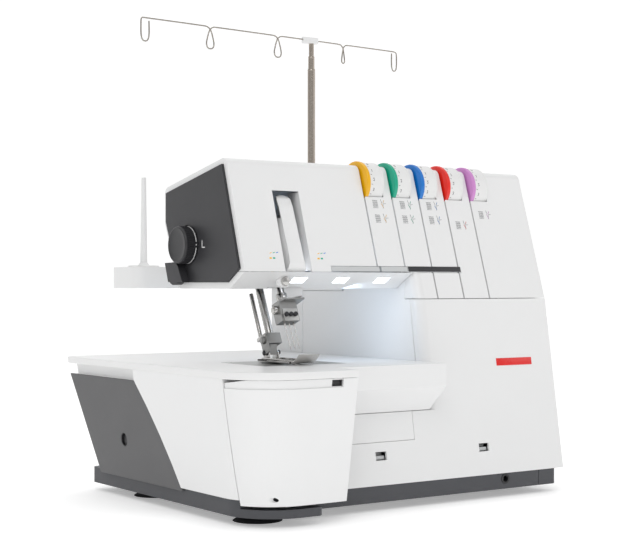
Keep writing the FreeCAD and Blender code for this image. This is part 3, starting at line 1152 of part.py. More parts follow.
faults = [item.Label for item in doc.Objects if "Invalid" in item.State or "Error" in item.State]
for piece in nodes:
    if piece.Shape.isNull() or not piece.Shape.isValid():
        faults.append(f"shape of {piece.Label}")
if faults:
    raise RuntimeError("failed features: " + ", ".join(faults))
os.makedirs("parts", exist_ok=True)
for piece in nodes:
    piece.Shape.exportStep(f"parts/{piece.Label}.step")
print(len(nodes), "pieces written")
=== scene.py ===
"""Looks of a serger overlock machine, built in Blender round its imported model.

Lengths in the classes are millimetres in the machine's own frame: X towards the handwheel,
-Y towards the user, +Z up, origin on the table. Meshes are made in metres.
"""
from __future__ import annotations

import json
import logging
import math
from dataclasses import dataclass, field
from enum import Enum
from typing import Iterable, Sequence

import bmesh
import bpy
from mathutils import Matrix, Vector

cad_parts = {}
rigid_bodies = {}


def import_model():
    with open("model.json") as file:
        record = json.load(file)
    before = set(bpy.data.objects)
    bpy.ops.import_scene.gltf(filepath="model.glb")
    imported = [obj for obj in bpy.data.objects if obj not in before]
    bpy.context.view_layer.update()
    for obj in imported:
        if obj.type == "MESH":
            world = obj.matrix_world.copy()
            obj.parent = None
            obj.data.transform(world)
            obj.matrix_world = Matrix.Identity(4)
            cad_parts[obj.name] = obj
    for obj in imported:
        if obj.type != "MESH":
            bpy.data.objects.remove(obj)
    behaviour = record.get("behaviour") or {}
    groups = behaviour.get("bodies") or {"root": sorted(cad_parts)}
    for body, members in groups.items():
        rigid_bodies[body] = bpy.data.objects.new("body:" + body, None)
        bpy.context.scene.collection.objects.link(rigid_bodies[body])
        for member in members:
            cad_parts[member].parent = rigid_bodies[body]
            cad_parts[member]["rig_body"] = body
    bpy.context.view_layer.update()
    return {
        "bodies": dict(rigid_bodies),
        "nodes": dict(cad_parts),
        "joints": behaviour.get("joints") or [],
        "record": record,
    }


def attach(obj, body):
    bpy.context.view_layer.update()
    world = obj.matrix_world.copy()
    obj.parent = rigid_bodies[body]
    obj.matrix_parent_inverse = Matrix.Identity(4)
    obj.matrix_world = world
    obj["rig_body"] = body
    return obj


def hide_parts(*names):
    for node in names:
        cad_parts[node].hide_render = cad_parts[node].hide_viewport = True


LOG = logging.getLogger("serger")
MM = 0.001
MERGE = 2e-6  # metres under which corners of a CAD mesh or a spun profile count as one
CREASE = 32.0  # degrees above which an edge of a new piece stays sharp
RIM = 50.0  # degrees above which an edge of a rod is a rim
PRINT = 0.03  # millimetres that printed ink stands above and below its face
Point = tuple[float, float, float]
Color = tuple[float, float, float]


class Axis(Enum):
    """A direction of the machine's frame."""

    X = (1.0, 0.0, 0.0)
    Y = (0.0, 1.0, 0.0)
    Z = (0.0, 0.0, 1.0)


class Slot(Enum):
    """The record's material slots that new pieces take their finish from."""

    BODY = "body_white"
    PLATE = "plate_white"
    BASE = "base_grey"
    PANEL = "panel_grey"
    CAP = "cap_charcoal"
    KNOB = "knob_black"
    DIAL = "dial_white"
    TRIM = "trim_grey"
    CAST = "cast_alloy"
    POLISHED = "steel_polished"
    SATIN = "steel_satin"
    DARK = "steel_dark"
    NICKEL = "pole_nickel"
    BRONZE = "bush_bronze"
    FOOT = "foot_rubber"
    BELT = "belt_rubber"
    LENS = "lamp_lens"
    FITTING = "fitting_black"
    MOTOR = "motor_black"


# ------------------------------------------------------------------ shader expressions
class Value:
    """A shader socket that takes part in Python arithmetic."""

    def __init__(self, graph: "Graph", socket: bpy.types.NodeSocket) -> None:
        """Wrap one output socket of a graph."""
        self.graph = graph
        self.socket = socket

    def _math(self, operation: str, first: "Value | float", second: "Value | float") -> "Value":
        """Add one Math node."""
        return self.graph.add("ShaderNodeMath", {"operation": operation}, {0: first, 1: second})

    def __add__(self, other: "Value | float") -> "Value":
        """Sum."""
        return self._math("ADD", self, other)

    def __radd__(self, other: float) -> "Value":
        """Sum with a number on the left."""
        return self._math("ADD", other, self)

    def __sub__(self, other: "Value | float") -> "Value":
        """Difference."""
        return self._math("SUBTRACT", self, other)

    def __rsub__(self, other: float) -> "Value":
        """Difference from a number on the left."""
        return self._math("SUBTRACT", other, self)

    def __mul__(self, other: "Value | float") -> "Value":
        """Product."""
        return self._math("MULTIPLY", self, other)

    def __rmul__(self, other: float) -> "Value":
        """Product with a number on the left."""
        return self._math("MULTIPLY", other, self)

    def power(self, exponent: float) -> "Value":
        """Raise to a power."""
        return self._math("POWER", self, exponent)


class Graph:
    """The node tree of one material."""

    def __init__(self, name: str) -> None:
        """Start a material with an empty tree."""
        self.material = bpy.data.materials.new(name)
        self.material.use_nodes = True
        self.tree = self.material.node_tree
        self.tree.nodes.clear()

    def add(self, kind: str, settings: dict | None = None, sockets: dict | None = None,
            out: int | str = 0) -> Value:
        """Add any node.

        Args:
            kind: The node's type name.
            settings: Properties, which are set first.
            sockets: Input name or index, to a number, colour or Value.
            out: Which output to return.

        Returns:
            The chosen output as a Value.
        """
        node = self.tree.nodes.new(kind)
        for key, setting in (settings or {}).items():
            setattr(node, key, setting)
        for key, given in (sockets or {}).items():
            if isinstance(given, Value):
                self.tree.links.new(given.socket, node.inputs[key])
            else:
                node.inputs[key].default_value = given
        return Value(self, node.outputs[out]) if node.outputs else None

    def place(self, scale: Point = (1.0, 1.0, 1.0), turn: Point = (0.0, 0.0, 0.0)) -> Value:
        """Object coordinates, stretched and turned."""
        coords = self.add("ShaderNodeTexCoord", out="Object")
        return self.add("ShaderNodeMapping", {}, {"Vector": coords, "Scale": scale, "Rotation": turn})

    def noise(self, size: float, detail: float = 2.0, scale: Point = (1.0, 1.0, 1.0)) -> Value:
        """Noise whose features are about a size in millimetres."""
        return self.add("ShaderNodeTexNoise", {}, {"Vector": self.place(scale), "Scale": 1.0 / (size * MM),
                                                   "Detail": detail, "Roughness": 0.55}, "Fac")

    def spots(self, size: float) -> Value:
        """Distance to the nearest of many scattered points."""
        return self.add("ShaderNodeTexVoronoi", {}, {"Vector": self.place(), "Scale": 1.0 / (size * MM)},
                        "Distance")

    def blend(self, share: Value, low: Color, high: Color) -> Value:
        """Mix two colours by a share."""
        return self.add("ShaderNodeMix", {"data_type": "RGBA"},
                        {"Factor": share, 6: (*low, 1.0), 7: (*high, 1.0)}, 2)

    def bump(self, height: Value, depth: float, strength: float = 1.0) -> Value:
        """Bump from a height in 0..1, whose full depth is in millimetres."""
        return self.add("ShaderNodeBump", {},
                        {"Height": height, "Distance": depth * MM, "Strength": strength},
                        "Normal")

    def surface(self, sockets: dict) -> bpy.types.Material:
        """Close the tree with a Principled shader and return the material."""
        shader = self.add("ShaderNodeBsdfPrincipled", {}, sockets)
        self.add("ShaderNodeOutputMaterial", {}, {"Surface": shader})
        return self.material


# ------------------------------------------------------------------ finishes
@dataclass(frozen=True)
class MouldedPlastic:
    """Injection-moulded plastic: fine eroded grain, faint flow mottling and handling marks."""

    name: str
    color: Color
    roughness: float = 0.35
    grain: float = 0.35
    depth: float = 0.008
    mottle: float = 0.02
    coat: float = 0.0

    def make(self) -> bpy.types.Material:
        """Build the material."""
        graph = Graph(self.name)
        flow = graph.noise(38.0, 3.0)
        rubbed = graph.noise(9.0, 4.0)
        grain = graph.noise(self.grain, 2.0)
        pits = graph.spots(self.grain * 1.7)
        dark = tuple(channel * (1.0 - self.mottle * 2.0) for channel in self.color)
        light = tuple(min(1.0, channel * (1.0 + self.mottle)) for channel in self.color)
        tint = graph.blend(flow * 0.7 + rubbed * 0.3, dark, light)
        rough = self.roughness - 0.06 + rubbed * 0.08 + grain * 0.05
        height = grain * 0.7 + pits * 0.3
        return graph.surface({"Base Color": tint, "Roughness": rough, "Coat Weight": self.coat,
                              "Coat Roughness": 0.12, "IOR": 1.5,
                              "Normal": graph.bump(height, self.depth)})


@dataclass(frozen=True)
class DrawnMetal:
    """Turned, ground or polished metal with fine lines along or round one axis."""

    name: str
    color: Color
    roughness: float
    along: Axis = Axis.Z
    line: float = 0.12
    depth: float = 0.002
    tarnish: float = 0.06

    def make(self) -> bpy.types.Material:
        """Build the material."""
        graph = Graph(self.name)
        stretch = tuple(0.03 if share else 1.0 for share in self.along.value)
        lines = graph.noise(self.line, 3.0, stretch)
        cloud = graph.noise(6.0, 4.0)
        scratch = graph.noise(0.5, 6.0, tuple(0.15 if share else 1.0 for share in self.along.value))
        dull = tuple(channel * (1.0 - self.tarnish * 2.2) for channel in self.color)
        tint = graph.blend(cloud * 0.6 + lines * 0.4, dull, self.color)
        rough = self.roughness + lines * 0.10 + scratch.power(3.0) * 0.25
        return graph.surface({"Base Color": tint, "Metallic": 1.0, "Roughness": rough,
                              "Normal": graph.bump(lines * 0.6 + scratch * 0.4, self.depth)})


@dataclass(frozen=True)
class CastMetal:
    """Die-cast alloy: pebbled skin, darker in its hollows."""

    name: str
    color: Color

    def make(self) -> bpy.types.Material:
        """Build the material."""
        graph = Graph(self.name)
        skin = graph.noise(1.2, 5.0)
        pits = graph.spots(2.2)
        cloud = graph.noise(25.0, 3.0)
        dark = tuple(channel * 0.55 for channel in self.color)
        tint = graph.blend(skin * 0.5 + cloud * 0.5, dark, self.color)
        return graph.surface({"Base Color": tint, "Metallic": 0.9, "Roughness": 0.42 + skin * 0.25,
                              "Normal": graph.bump(skin * 0.6 + pits * 0.4, 0.15)})


@dataclass(frozen=True)
class Rubber:
    """Matt rubber with a dusty bloom."""

    name: str
    color: Color
    grain: float = 0.6

    def make(self) -> bpy.types.Material:
        """Build the material."""
        graph = Graph(self.name)
        dust = graph.noise(7.0, 5.0)
        grain = graph.noise(self.grain, 3.0)
        bloom = tuple(channel * 1.8 + 0.01 for channel in self.color)
        return graph.surface({"Base Color": graph.blend(dust, self.color, bloom),
                              "Roughness": 0.72 + grain * 0.2, "Normal": graph.bump(grain, 0.05)})


@dataclass(frozen=True)
class LampLens:
    """Frosted lens over a small white lamp, brightest in its middle bands."""

    name: str
    strength: float = 3.0

    def make(self) -> bpy.types.Material:
        """Build the material."""
        graph = Graph(self.name)
        frost = graph.noise(0.5, 3.0)
        prism = graph.noise(1.4, 2.0, (1.0, 0.1, 0.1))
        glow = graph.blend(prism, (0.80, 0.88, 1.0), (1.0, 1.0, 1.0))
        return graph.surface({"Base Color": glow, "Roughness": 0.25 + frost * 0.3, "Emission Color": glow,
                              "Emission Strength": self.strength, "Normal": graph.bump(frost, 0.05)})


@dataclass(frozen=True)
class PrintedInk:
    """Pad-printed ink: a thin flat colour with pinholes and a faint screen texture."""

    name: str
    color: Color
    roughness: float = 0.45

    def make(self) -> bpy.types.Material:
        """Build the material."""
        graph = Graph(self.name)
        screen = graph.noise(0.25, 2.0)
        wear = graph.noise(3.0, 5.0)
        pale = tuple(min(1.0, channel * 1.15 + 0.015) for channel in self.color)
        return graph.surface({"Base Color": graph.blend(wear * 0.6 + screen * 0.4, self.color, pale),
                              "Roughness": self.roughness + screen * 0.12,
                              "Normal": graph.bump(screen, 0.01)})


Finish = MouldedPlastic | DrawnMetal | CastMetal | Rubber | LampLens | PrintedInk

WHITE: Color = (0.87, 0.872, 0.872)
SLOT_FINISHES: dict[Slot, Finish] = {
    Slot.BODY: MouldedPlastic("moulded_white", WHITE, 0.30, coat=0.25, mottle=0.008),
    Slot.PLATE: MouldedPlastic("moulded_plate_white", (0.88, 0.88, 0.878), 0.34, coat=0.1, mottle=0.008),
    Slot.BASE: MouldedPlastic("grained_base_grey", (0.068, 0.070, 0.078), 0.52, 0.7, 0.03, 0.08),
    Slot.PANEL: MouldedPlastic("grained_panel_grey", (0.105, 0.105, 0.108), 0.50, 0.6, 0.02, 0.06),
    Slot.CAP: MouldedPlastic("satin_charcoal", (0.034, 0.034, 0.038), 0.44, 0.5, 0.012, 0.07),
    Slot.KNOB: MouldedPlastic("satin_black", (0.026, 0.026, 0.029), 0.40, 0.4, 0.01, 0.08),
    Slot.DIAL: MouldedPlastic("dial_white_satin", (0.86, 0.86, 0.855), 0.36, 0.3, 0.006, 0.01),
    Slot.TRIM: MouldedPlastic("trim_pale_grey", (0.60, 0.615, 0.62), 0.30, 0.3, 0.005, 0.02, 0.3),
    Slot.CAST: CastMetal("cast_frame_alloy", (0.60, 0.61, 0.62)),
    Slot.POLISHED: DrawnMetal("polished_steel", (0.60, 0.59, 0.575), 0.13),
    Slot.SATIN: DrawnMetal("ground_steel", (0.38, 0.38, 0.375), 0.26, Axis.Y),
    Slot.DARK: DrawnMetal("blackened_steel", (0.07, 0.07, 0.075), 0.30),
    Slot.NICKEL: DrawnMetal("warm_nickel_tube", (0.50, 0.445, 0.39), 0.15, depth=0.0004, tarnish=0.02),
    Slot.BRONZE: CastMetal("sintered_bronze", (0.62, 0.42, 0.20)),
    Slot.FOOT: Rubber("foot_rubber_black", (0.022, 0.022, 0.024)),
    Slot.BELT: Rubber("belt_rubber_black", (0.016, 0.016, 0.017), 0.3),
    Slot.LENS: LampLens("frosted_lamp_lens"),
    Slot.FITTING: MouldedPlastic("fitting_black", (0.016, 0.016, 0.018), 0.38, 0.4, 0.012, 0.08),
    Slot.MOTOR: MouldedPlastic("motor_enamel_black", (0.03, 0.03, 0.034), 0.35, 1.2, 0.04, 0.08, 0.3),
}
THREAD_COLORS: dict[str, Color] = {
    "yellow": (0.95, 0.50, 0.002), "green": (0.004, 0.42, 0.26), "blue": (0.003, 0.19, 0.64),
    "red": (0.86, 0.018, 0.008), "violet": (0.68, 0.28, 0.66),
}


class Paintbox:
    """Makes each finish once and hands it out."""

    def __init__(self) -> None:
        """Start with no materials made."""
        self.made: dict[str, bpy.types.Material] = {}

    def of(self, finish: Finish | Slot) -> bpy.types.Material:
        """The material of a finish, or of a slot's finish."""
        chosen = SLOT_FINISHES[finish] if isinstance(finish, Slot) else finish
        if chosen.name not in self.made:
            self.made[chosen.name] = chosen.make()
        return self.made[chosen.name]


# ------------------------------------------------------------------ mesh building
def metres(point: Sequence[float]) -> Vector:
    """A point in millimetres as a vector in metres."""
    return Vector(point) * MM


def aimed(direction: Sequence[float]) -> Matrix:
    """A turn that takes +Z to a direction."""
    return Vector((0.0, 0.0, 1.0)).rotation_difference(Vector(direction)).to_matrix().to_4x4()


@dataclass
class Bench:
    """Holds the loaded frame and turns finished bmeshes into dressed pieces."""

    frame: dict
    paint: Paintbox
    pieces: list[str] = field(default_factory=list)

    def keep(self, mesh: bmesh.types.BMesh, name: str, body: str, slot: Slot, finish: Finish | None = None,
             stands_for: Sequence[str] = (), crease: float = CREASE) -> bpy.types.Object:
        """Make an object from a bmesh, dress it and let it ride.

        Args:
            mesh: The finished bmesh, in metres; it is freed.
            name: Name of the piece.
            body: Moving body that carries it.
            slot: Record slot it belongs to.
            finish: A finish other than the slot's own.
            stands_for: CAD nodes that it replaces.
            crease: Angle in degrees above which an edge stays sharp.

        Returns:
            The new object.
        """
        bmesh.ops.remove_doubles(mesh, verts=mesh.verts, dist=1e-6)
        bmesh.ops.recalc_face_normals(mesh, faces=mesh.faces)
        data = bpy.data.meshes.new(name)
        mesh.to_mesh(data)
        mesh.free()
        return self.adopt(data, name, body, slot, finish, stands_for, crease)

    def adopt(self, data: bpy.types.Mesh, name: str, body: str, slot: Slot, finish: Finish | None = None,
              stands_for: Sequence[str] = (), crease: float | None = CREASE) -> bpy.types.Object:
        """Make a piece of a finished mesh: smooth it up to a crease angle, dress it and let it ride.

        Args:
            data: The finished mesh, in metres.
            name: Name of the piece.
            body: Moving body that carries it.
            slot: Record slot it belongs to.
            finish: A finish other than the slot's own.
            stands_for: CAD nodes that it replaces.
            crease: Angle in degrees above which an edge stays sharp; None leaves the shading alone.

        Returns:
            The new object.
        """
        item = bpy.data.objects.new(name, data)
        bpy.context.scene.collection.objects.link(item)
        if crease is not None:
            data.shade_smooth()
            data.set_sharp_from_angle(angle=math.radians(crease))
        data.materials.clear()
        data.materials.append(self.paint.of(finish or slot))
        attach(item, body)
        if stands_for:
            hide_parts(*stands_for)
        self.pieces.append(name)
        LOG.info("made %s on %s with %d faces", name, body, len(data.polygons))
        return item

    def soften(self, node: str, width: float, slot: Slot, segments: int = 3, angle: float = 28.0) -> None:
        """Replace a CAD node by a copy of itself whose hard edges are rounded.

        Args:
            node: The CAD node's name.
            width: Size of the rounding in millimetres.
            slot: Record slot the node has.
            segments: Steps in each rounding.
            angle: Edges that turn by more than this many degrees are rounded.
        """
        source = self.frame["nodes"][node]
        mesh = bmesh.new()
        mesh.from_mesh(source.data)
        bmesh.ops.remove_doubles(mesh, verts=mesh.verts, dist=MERGE)
        bmesh.ops.dissolve_limit(mesh, angle_limit=math.radians(0.6), use_dissolve_boundaries=False,
                                 verts=mesh.verts, edges=mesh.edges)
        data = bpy.data.meshes.new(f"{node}_softened")
        mesh.to_mesh(data)
        mesh.free()
        data.shade_smooth()
        item = bpy.data.objects.new("softening", data)
        bpy.context.scene.collection.objects.link(item)
        bevel = item.modifiers.new("Bevel", "BEVEL")
        bevel.limit_method = "ANGLE"
        bevel.angle_limit = math.radians(angle)
        bevel.width = width * MM
        bevel.segments = segments
        bevel.use_clamp_overlap = True
        bevel.harden_normals = False
        bevel.miter_outer = "MITER_ARC"
        level = item.modifiers.new("Level", "WEIGHTED_NORMAL")
        level.mode = "FACE_AREA"
        level.weight = 90
        bpy.context.view_layer.update()
        evaluated = item.evaluated_get(bpy.context.evaluated_depsgraph_get())
        done = bpy.data.meshes.new_from_object(evaluated)
        bpy.data.objects.remove(item)
        self.adopt(done, f"{node}_moulding", source["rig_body"], slot, stands_for=[node], crease=None)

    def dress(self, node: str, finish: Finish | Slot) -> None:
        """Give a carried-over CAD node its finish."""
        data = self.frame["nodes"][node].data
        data.materials.clear()
        data.materials.append(self.paint.of(finish))


def add_block(mesh: bmesh.types.BMesh, low: Point, high: Point, rounding: float = 0.0,
              place: Matrix | None = None) -> None:
    """Add a box with rounded edges to a bmesh.

    Args:
        mesh: The bmesh that it joins.
        low: Lowest corner in millimetres.
        high: Highest corner in millimetres.
        rounding: Size of the edges' rounding in millimetres.
        place: A move made after the box is drawn.
    """
    size = metres(high) - metres(low)
    middle = (metres(high) + metres(low)) / 2
    made = bmesh.ops.create_cube(mesh, size=1.0)["verts"]
    bmesh.ops.scale(mesh, verts=made, vec=size)
    bmesh.ops.translate(mesh, verts=made, vec=middle)
    edges = list({edge for vert in made for edge in vert.link_edges})
    if rounding > 0.0:
        rounded = bmesh.ops.bevel(mesh, geom=edges, offset=rounding * MM, offset_type="OFFSET", segments=3,
                                  profile=0.5, affect="EDGES", material=-1, clamp_overlap=True)
        made = list({vert for face in rounded["faces"] for vert in face.verts}
                    | {vert for vert in made if vert.is_valid})
    if place is not None:
        linked = linked_verts(made)
        bmesh.ops.transform(mesh, matrix=place, verts=linked)


def linked_verts(seeds: Iterable[bmesh.types.BMVert]) -> list[bmesh.types.BMVert]:
    """Follow edges outwards.

    Args:
        seeds: Vertices to start from.

    Returns:
        Every vertex joined to one of them.
    """
    found = {vert for vert in seeds if vert.is_valid}
    queue = list(found)
    while queue:
        vert = queue.pop()
        for edge in vert.link_edges:
            other = edge.other_vert(vert)
            if other not in found:
                found.add(other)
                queue.append(other)
    return list(found)


def add_rod(mesh: bmesh.types.BMesh, start: Point, end: Point, radius: float, tip: float | None = None,
            steps: int = 28, rounding: float = 0.0) -> None:
    """Add a round rod or cone.

    Args:
        mesh: The bmesh that it joins.
        start: Middle of its first end in millimetres.
        end: Middle of its last end in millimetres.
        radius: Radius in millimetres.
        tip: Radius at the last end, where it differs.
        steps: Sides round it.
        rounding: Size of its rims' rounding in millimetres.
    """
    first, last = metres(start), metres(end)
    way = last - first
    place = Matrix.Translation((first + last) / 2) @ aimed(way)
    made = bmesh.ops.create_cone(mesh, cap_ends=True, cap_tris=False, segments=steps, radius1=radius * MM,
                                 radius2=(radius if tip is None else tip) * MM, depth=way.length,
                                 matrix=place)["verts"]
    if rounding > 0.0:
        rims = {edge for vert in made for edge in vert.link_edges
                if len(edge.link_faces) == 2 and edge.calc_face_angle(0.0) > math.radians(RIM)}
        bmesh.ops.bevel(mesh, geom=list(rims), offset=rounding * MM, offset_type="OFFSET", segments=3,
                        profile=0.5, affect="EDGES", material=-1, clamp_overlap=True)


def add_lathe(mesh: bmesh.types.BMesh, profile: Sequence[tuple[float, float]], at: Point, axis: Axis,
              steps: int = 64) -> None:
    """Spin a profile about an axis.

    Args:
        mesh: The bmesh that it joins.
        profile: Pairs of radius and place along the axis, in millimetres.
        at: A point of the axis in millimetres.
        axis: Direction of the axis.
        steps: Sides round it.
    """
    base = Matrix.Translation(metres(at)) @ aimed(axis.value)
    verts = [mesh.verts.new(base @ metres((radius, 0.0, along))) for radius, along in profile]
    edges = [mesh.edges.new(pair) for pair in zip(verts, verts[1:])]
    spun = bmesh.ops.spin(mesh, geom=verts + edges, cent=metres(at), axis=Vector(axis.value),
                          angle=math.tau, steps=steps, use_merge=True)
    found = [item for item in spun["geom_last"] if isinstance(item, bmesh.types.BMVert)]
    everything = linked_verts(found + verts)
    bmesh.ops.remove_doubles(mesh, verts=everything, dist=MERGE)


def add_prism(mesh: bmesh.types.BMesh, outline: Sequence[Vector], push: Vector,
              rounding: float = 0.0) -> None:
    """Extrude a flat outline and round its edges.

    Args:
        mesh: The bmesh that it joins.
        outline: Corners in metres.
        push: Way and length of the extrusion in metres.
        rounding: Size of the edges' rounding in millimetres.
    """
    verts = [mesh.verts.new(corner) for corner in outline]
    face = mesh.faces.new(verts)
    grown = bmesh.ops.extrude_face_region(mesh, geom=[face])
    moved = [item for item in grown["geom"] if isinstance(item, bmesh.types.BMVert)]
    bmesh.ops.translate(mesh, verts=moved, vec=push)
    if rounding > 0.0:
        edges = list({edge for vert in verts + moved for edge in vert.link_edges})
        bmesh.ops.bevel(mesh, geom=edges, offset=rounding * MM, offset_type="OFFSET", segments=2,
                        profile=0.5, affect="EDGES", material=-1, clamp_overlap=True)


def add_ribbed(mesh: bmesh.types.BMesh, at: Point, axis: Axis, radius: float, along: tuple[float, float],
               ribs: int, depth: float) -> None:
    """Add a drum with fine ribs round it: a circle whose every other corner is drawn in.

    Args:
        mesh: The bmesh that it joins.
        at: A point of the axis in millimetres.
        axis: Direction of the axis.
        radius: Outer radius in millimetres.
        along: Where it starts and ends on the axis.
        ribs: Number of ribs.
        depth: Depth of the grooves between them in millimetres.
    """
    place = Matrix.Translation(metres(at)) @ aimed(axis.value) @ Matrix.Translation((0, 0, along[0] * MM))
    ring = bmesh.ops.create_circle(mesh, cap_ends=True, segments=ribs * 4, radius=radius * MM,
                                   matrix=place)["verts"]
    centre = place.translation
    for index, vert in enumerate(ring):
        if index % 4 < 2:
            vert.co = centre + (vert.co - centre) * (1.0 - depth / radius)
    face = ring[0].link_faces[0]
    grown = bmesh.ops.extrude_face_region(mesh, geom=[face])
    moved = [item for item in grown["geom"] if isinstance(item, bmesh.types.BMVert)]
    bmesh.ops.translate(mesh, verts=moved, vec=Vector(axis.value) * (along[1] - along[0]) * MM)


def wire_mesh(points: Sequence[Vector], radius: float, name: str) -> bpy.types.Mesh:
    """Sweep a round section along a smooth curve.

    Args:
        points: Control points in metres.
        radius: Radius of the wire in millimetres.
        name: Name of the mesh.

    Returns:
        The wire's mesh.
    """
    curve = bpy.data.curves.new(name, "CURVE")
    curve.dimensions = "3D"
    curve.bevel_depth = radius * MM
    curve.bevel_resolution = 4
    curve.use_fill_caps = True
    spline = curve.splines.new("NURBS")
    spline.points.add(len(points) - 1)
    for knot, point in zip(spline.points, points):
        knot.co = (*point, 1.0)
    spline.order_u = 3
    spline.use_endpoint_u = True
    spline.resolution_u = 6
    holder = bpy.data.objects.new(name, curve)
    data = bpy.data.meshes.new_from_object(holder)
    bpy.data.objects.remove(holder)
    bpy.data.curves.remove(curve)
    return data


def text_mesh(mesh: bmesh.types.BMesh, words: str, height: float, place: Matrix,
              depth: float = 0.06) -> None:
    """Add flat raised characters to a bmesh.

    Args:
        mesh: The bmesh that they join.
        words: The characters.
        height: Their size in millimetres.
        place: A matrix whose X runs along them.
        depth: Their thickness to each side in millimetres.
    """
    curve = bpy.data.curves.new("characters", "FONT")
    curve.body = words
    curve.size = height * MM
    curve.align_x = "CENTER"
    curve.align_y = "CENTER"
    curve.extrude = depth * MM
    curve.resolution_u = 3
    holder = bpy.data.objects.new("characters", curve)
    data = bpy.data.meshes.new_from_object(holder)
    data.transform(place)
    mesh.from_mesh(data)
    bpy.data.objects.remove(holder)
    bpy.data.curves.remove(curve)
    bpy.data.meshes.remove(data)


@dataclass(frozen=True)
class Face:
    """A leaning flat face of the front: where it is at a height, and a frame for marks on it."""

    foot_y: float
    foot_z: float
    lean: float

    def y(self, z: float) -> float:
        """Y of the face at a height."""
        return self.foot_y + self.lean * (z - self.foot_z)

    def spot(self, x: float, z: float, proud: float = 0.0) -> Matrix:
        """A frame for marks on the face.

        Args:
            x: Place along the machine in millimetres.
            z: Height in millimetres.
            proud: How far it stands out of the face.

        Returns:
            A matrix whose X runs along the machine, Y up the face and Z out of it.
        """
        up = Vector((0.0, self.lean, 1.0)).normalized()
        out = Vector((0.0, -1.0, self.lean)).normalized()
        turn = Matrix((Vector((1.0, 0.0, 0.0)), up, out)).transposed().to_4x4()
        return Matrix.Translation(metres((x, self.y(z), z)) + out * proud * MM) @ turn


LOWER = Face(-138.0, 25.0, 0.156)
UPPER = Face(-109.764, 206.0, 0.31)


# ------------------------------------------------------------------ casing
@dataclass
class Casing:
    """Every moulded or machined CAD piece whose edges are rounded."""

    bench: Bench
    soft: dict[str, tuple[float, Slot]] = field(default_factory=lambda: {
        "upper_front_cover": (0.9, Slot.BODY), "lower_front_cover": (0.8, Slot.BODY),
        "rear_cover": (1.0, Slot.BODY), "right_side_cover": (0.8, Slot.BODY),
        "throat_wall": (0.8, Slot.BODY), "bed_housing": (0.8, Slot.BODY), "cloth_plate": (1.4, Slot.PLATE),
        "looper_cover": (0.7, Slot.BODY), "front_ledge": (0.9, Slot.BODY), "access_panel": (0.5, Slot.BODY),
        "head_underside": (0.6, Slot.BODY), "head_end_cap": (1.0, Slot.CAP),
        "side_panel": (0.8, Slot.PANEL),
        "base_tray": (0.9, Slot.BASE), "spool_tray": (1.4, Slot.BODY), "presser_lifter": (1.2, Slot.CAP),
        "thread_guide_bars": (0.3, Slot.TRIM), "power_inlet": (0.4, Slot.FITTING),
        "power_switch": (0.5, Slot.FITTING), "knee_lever_socket": (0.4, Slot.FITTING),
        "needle_clamp": (0.45, Slot.SATIN), "presser_ankle": (0.5, Slot.SATIN),
        "needle_plate": (0.25, Slot.SATIN), "take_up_lever": (0.3, Slot.POLISHED),
        "looper_cover_latch": (0.4, Slot.FITTING), "guide_block": (0.9, Slot.BODY),
        "machine_frame": (0.8, Slot.CAST), "upper_looper": (0.5, Slot.POLISHED),
        "lower_looper": (0.5, Slot.POLISHED), "upper_knife": (0.4, Slot.SATIN),
        "lower_knife": (0.4, Slot.SATIN),
        "stitch_length_dial": (0.4, Slot.KNOB), "handwheel": (0.8, Slot.BODY), "motor": (1.5, Slot.MOTOR),
        "motor_pulley": (0.5, Slot.SATIN), "main_shaft": (0.6, Slot.SATIN),
        "suction_feet": (0.8, Slot.FOOT),
    })

    def build(self) -> None:
        """Round the edges of each listed node."""
        for node, (width, slot) in self.soft.items():
            self.bench.soften(node, width, slot)


